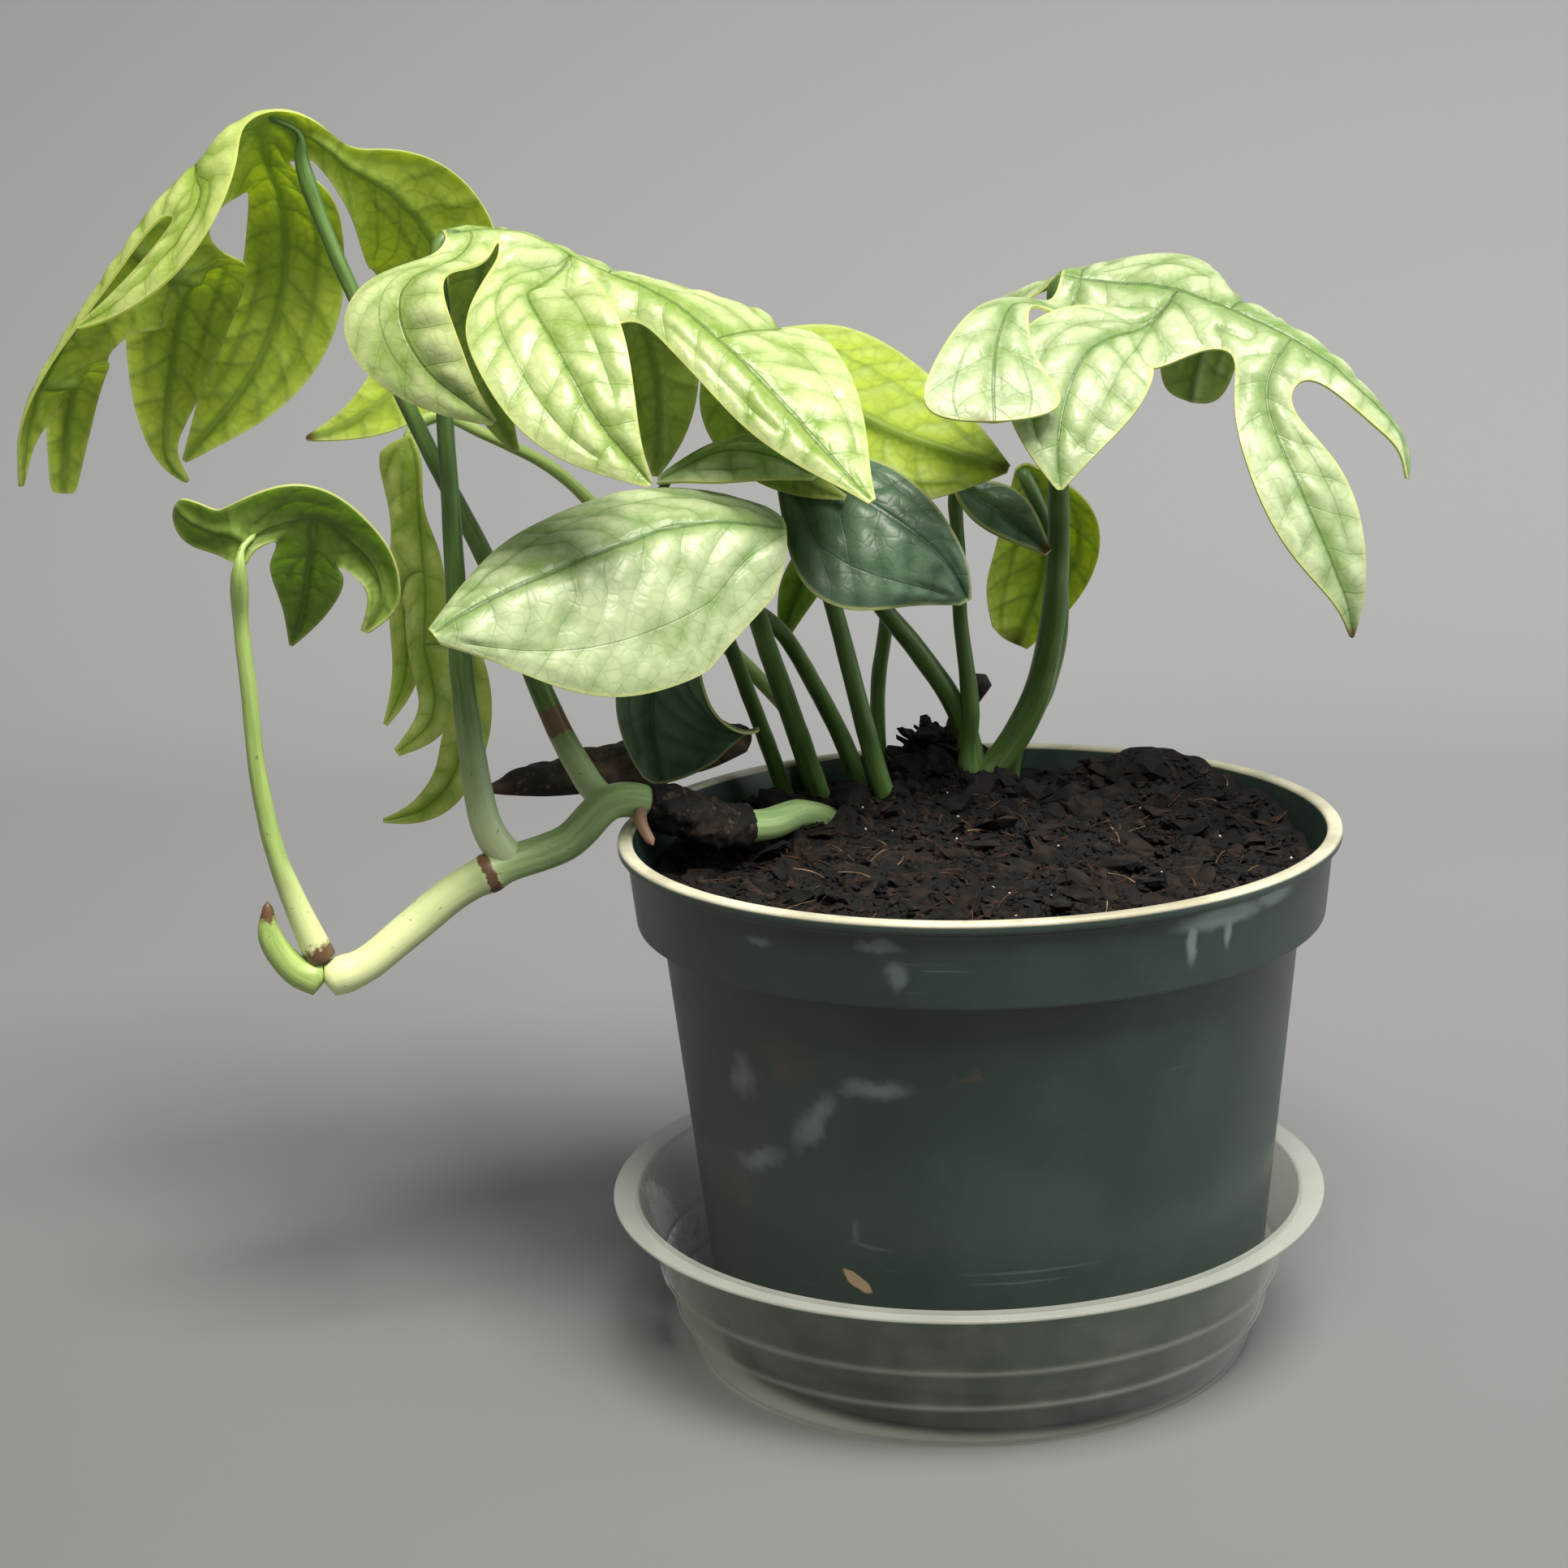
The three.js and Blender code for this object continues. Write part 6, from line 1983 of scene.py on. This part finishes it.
@dataclass
class DriedSheath:
    """The old sheath round the vine's first node: a torn, papery sleeve."""

    path: tuple[tuple[float, float, float], ...] = (
        (-54, 19, 119.5), (-62, 14, 121), (-72, 7.5, 127), (-77, 4.5, 129),
    )
    radius: tuple[float, ...] = (5.2, 6.2, 6.2, 5.2)
    sides: int = 48
    rings: int = 60

    def build(self) -> bpy.types.Object:
        """Makes the sheath.

        Returns:
            The piece that stands for its solid.
        """
        curve = Curve(list(self.path))
        points = []
        way = unit(np.cross(curve.ahead(0), (0, 0, 1.0)))
        for i in range(self.rings + 1):
            t = i / self.rings
            ahead = curve.ahead(t)
            way = unit(way - ahead * (way @ ahead))
            other = np.cross(ahead, way)
            radius = along(list(self.radius), t) * (0.9 if i in (0, self.rings) else 1.0)
            for j in range(self.sides):
                angle = 2 * math.pi * j / self.sides
                points.append(curve.point(t) + (way * math.cos(angle) + other * math.sin(angle)) * radius)
        points = np.array(points)
        centres = np.repeat([curve.point(i / self.rings) for i in range(self.rings + 1)], self.sides, 0)
        fold = 0.9 * hashed_noise(points, 4.0, 6.0) + 0.5 * hashed_noise(points, 1.6, 3.0) - 0.3
        points += unit_rows(points - centres) * fold[:, None]
        mesh = mesh_from("papery_sheath", points, ring_faces(self.rings + 1, self.sides))
        PAPER.dress(mesh)
        return place_piece("papery_sheath", mesh, "dry_sheath", "dried_sheath")


class Plant:
    """The plant: its leaves, stalks, vine, sheath and root."""

    def __init__(self) -> None:
        """Makes every piece of the plant."""
        for leaf in LEAVES:
            finish, slot = BLADES[leaf.name]
            blade = Blade(leaf)
            finish.dress(blade.mesh)
            place_piece(leaf.name + "_blade", blade.mesh, slot, leaf.name)
        maker = StemMaker({leaf.name: leaf for leaf in LEAVES})
        for stem in STEMS:
            place_piece(stem.name + "_skin", maker.build(stem), stem.slot, stem.name)
        DriedSheath().build()


@dataclass
class Studio:
    """The camera at the photograph's place, a pale sweep with painted shade towards the front, and soft light from
    above.
    """

    place: tuple[float, float, float] = (0.0, -0.6507, 0.291)
    yaw: float = 0.0675
    pitch: float = 0.2365
    roll: float = -0.0371
    lens: float = 67.08
    floor: float = 1.2
    wall_from: float = 0.55
    bend: float = 0.35

    def camera(self) -> None:
        """Sets up the camera."""
        cp, sp = math.cos(self.pitch), math.sin(self.pitch)
        ahead = Vector((-math.sin(self.yaw) * cp, math.cos(self.yaw) * cp, -sp))
        right = Vector((math.cos(self.yaw), math.sin(self.yaw), 0.0))
        up = right.cross(ahead)
        cr, sr = math.cos(self.roll), math.sin(self.roll)
        right, up = right * cr + up * sr, up * cr - right * sr
        data = bpy.data.cameras.new("camera")
        data.lens, data.sensor_width = self.lens, 36.0
        data.clip_start, data.clip_end = 0.01, 20.0
        camera = bpy.data.objects.new("camera", data)
        bpy.context.scene.collection.objects.link(camera)
        rotation = Matrix((right, up, -ahead)).transposed().to_4x4()
        camera.matrix_world = Matrix.Translation(self.place) @ rotation
        bpy.context.scene.camera = camera

    def backdrop(self) -> None:
        """Makes the floor, which turns up into a wall, with painted shade: darker towards the front, lighter up the
        wall.
        """
        section = [(-self.floor * 2, 0.0)]
        for k in range(25):
            angle = math.pi / 2 * k / 24
            section.append((self.wall_from + self.bend * math.sin(angle), self.bend * (1 - math.cos(angle))))
        section.append((self.wall_from + self.bend, 3.0))
        points = [(x * 3.0, y, z) for y, z in section for x in (-1, 1)]
        faces = [(2 * k, 2 * k + 1, 2 * k + 3, 2 * k + 2) for k in range(len(section) - 1)]
        mesh = mesh_from("backdrop", np.array(points) / MM, faces)
        material, tree = new_material("seamless_paper")
        place = add(tree, PLACE)
        back = add(tree, PARTS, place).node.outputs[1]
        # Painted shade: the colour runs from dark at the front of the floor to light up the wall, as the light falls
        # off; the noise adds random tone.
        far = add(tree, STEP, back, -0.45, self.wall_from + self.bend)
        tone = add(tree, TIMES_PLUS, add(tree, NOISE, place, 3.0, 3.0), 0.16, far, use_clamp=True)
        coat(tree, add(tree, MIX, tone, "#626160", "#9c9d9f"), 0.85)
        mesh.materials.append(material)
        new_object("backdrop", mesh)

    @staticmethod
    def light(name: str, place: tuple, aim: tuple, size: float, watts: float, colour: str) -> None:
        """Adds a square soft light.

        Args:
            name: its name.
            place: where it stands, in metres.
            aim: what it points at.
            size: the length of its side.
            watts: its power.
            colour: its colour.
        """
        data = bpy.data.lights.new(name, "AREA")
        data.shape, data.size = "SQUARE", size
        data.energy, data.color = watts, linear(colour)[:3]
        lamp = bpy.data.objects.new(name, data)
        bpy.context.scene.collection.objects.link(lamp)
        way = Vector(aim) - Vector(place)
        lamp.matrix_world = Matrix.Translation(place) @ way.to_track_quat("-Z", "Y").to_matrix().to_4x4()

    def build(self) -> None:
        """Sets the whole studio up."""
        self.camera()
        self.backdrop()
        self.light("key", (0.2, -0.55, 1.3), (-0.05, 0.02, 0.15), 0.6, 33.0, "#fffaf0")
        self.light("fill", (1.3, -0.2, 0.6), (0.0, 0.0, 0.1), 1.0, 9.0, "#f0f5ff")
        world = bpy.data.worlds.new("room")
        world.use_nodes = True
        world.node_tree.nodes["Background"].inputs[0].default_value = linear("#c9ccd0")
        world.node_tree.nodes["Background"].inputs[1].default_value = 0.42
        bpy.context.scene.world = world
        bpy.context.scene.view_settings.view_transform = "Standard"


def write_sizes() -> None:
    """Updates the view layer.
    """
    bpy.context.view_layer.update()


def main() -> None:
    """Builds the dressed part and its studio."""
    logging.basicConfig(level=logging.INFO, format="%(name)s: %(message)s")
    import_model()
    Studio().build()
    pot = NurseryPot()
    pot.build()
    ClearSaucer().build()
    PottingMix(pot).build()
    Plant()
    write_sizes()


if __name__ == "__main__":
    main()
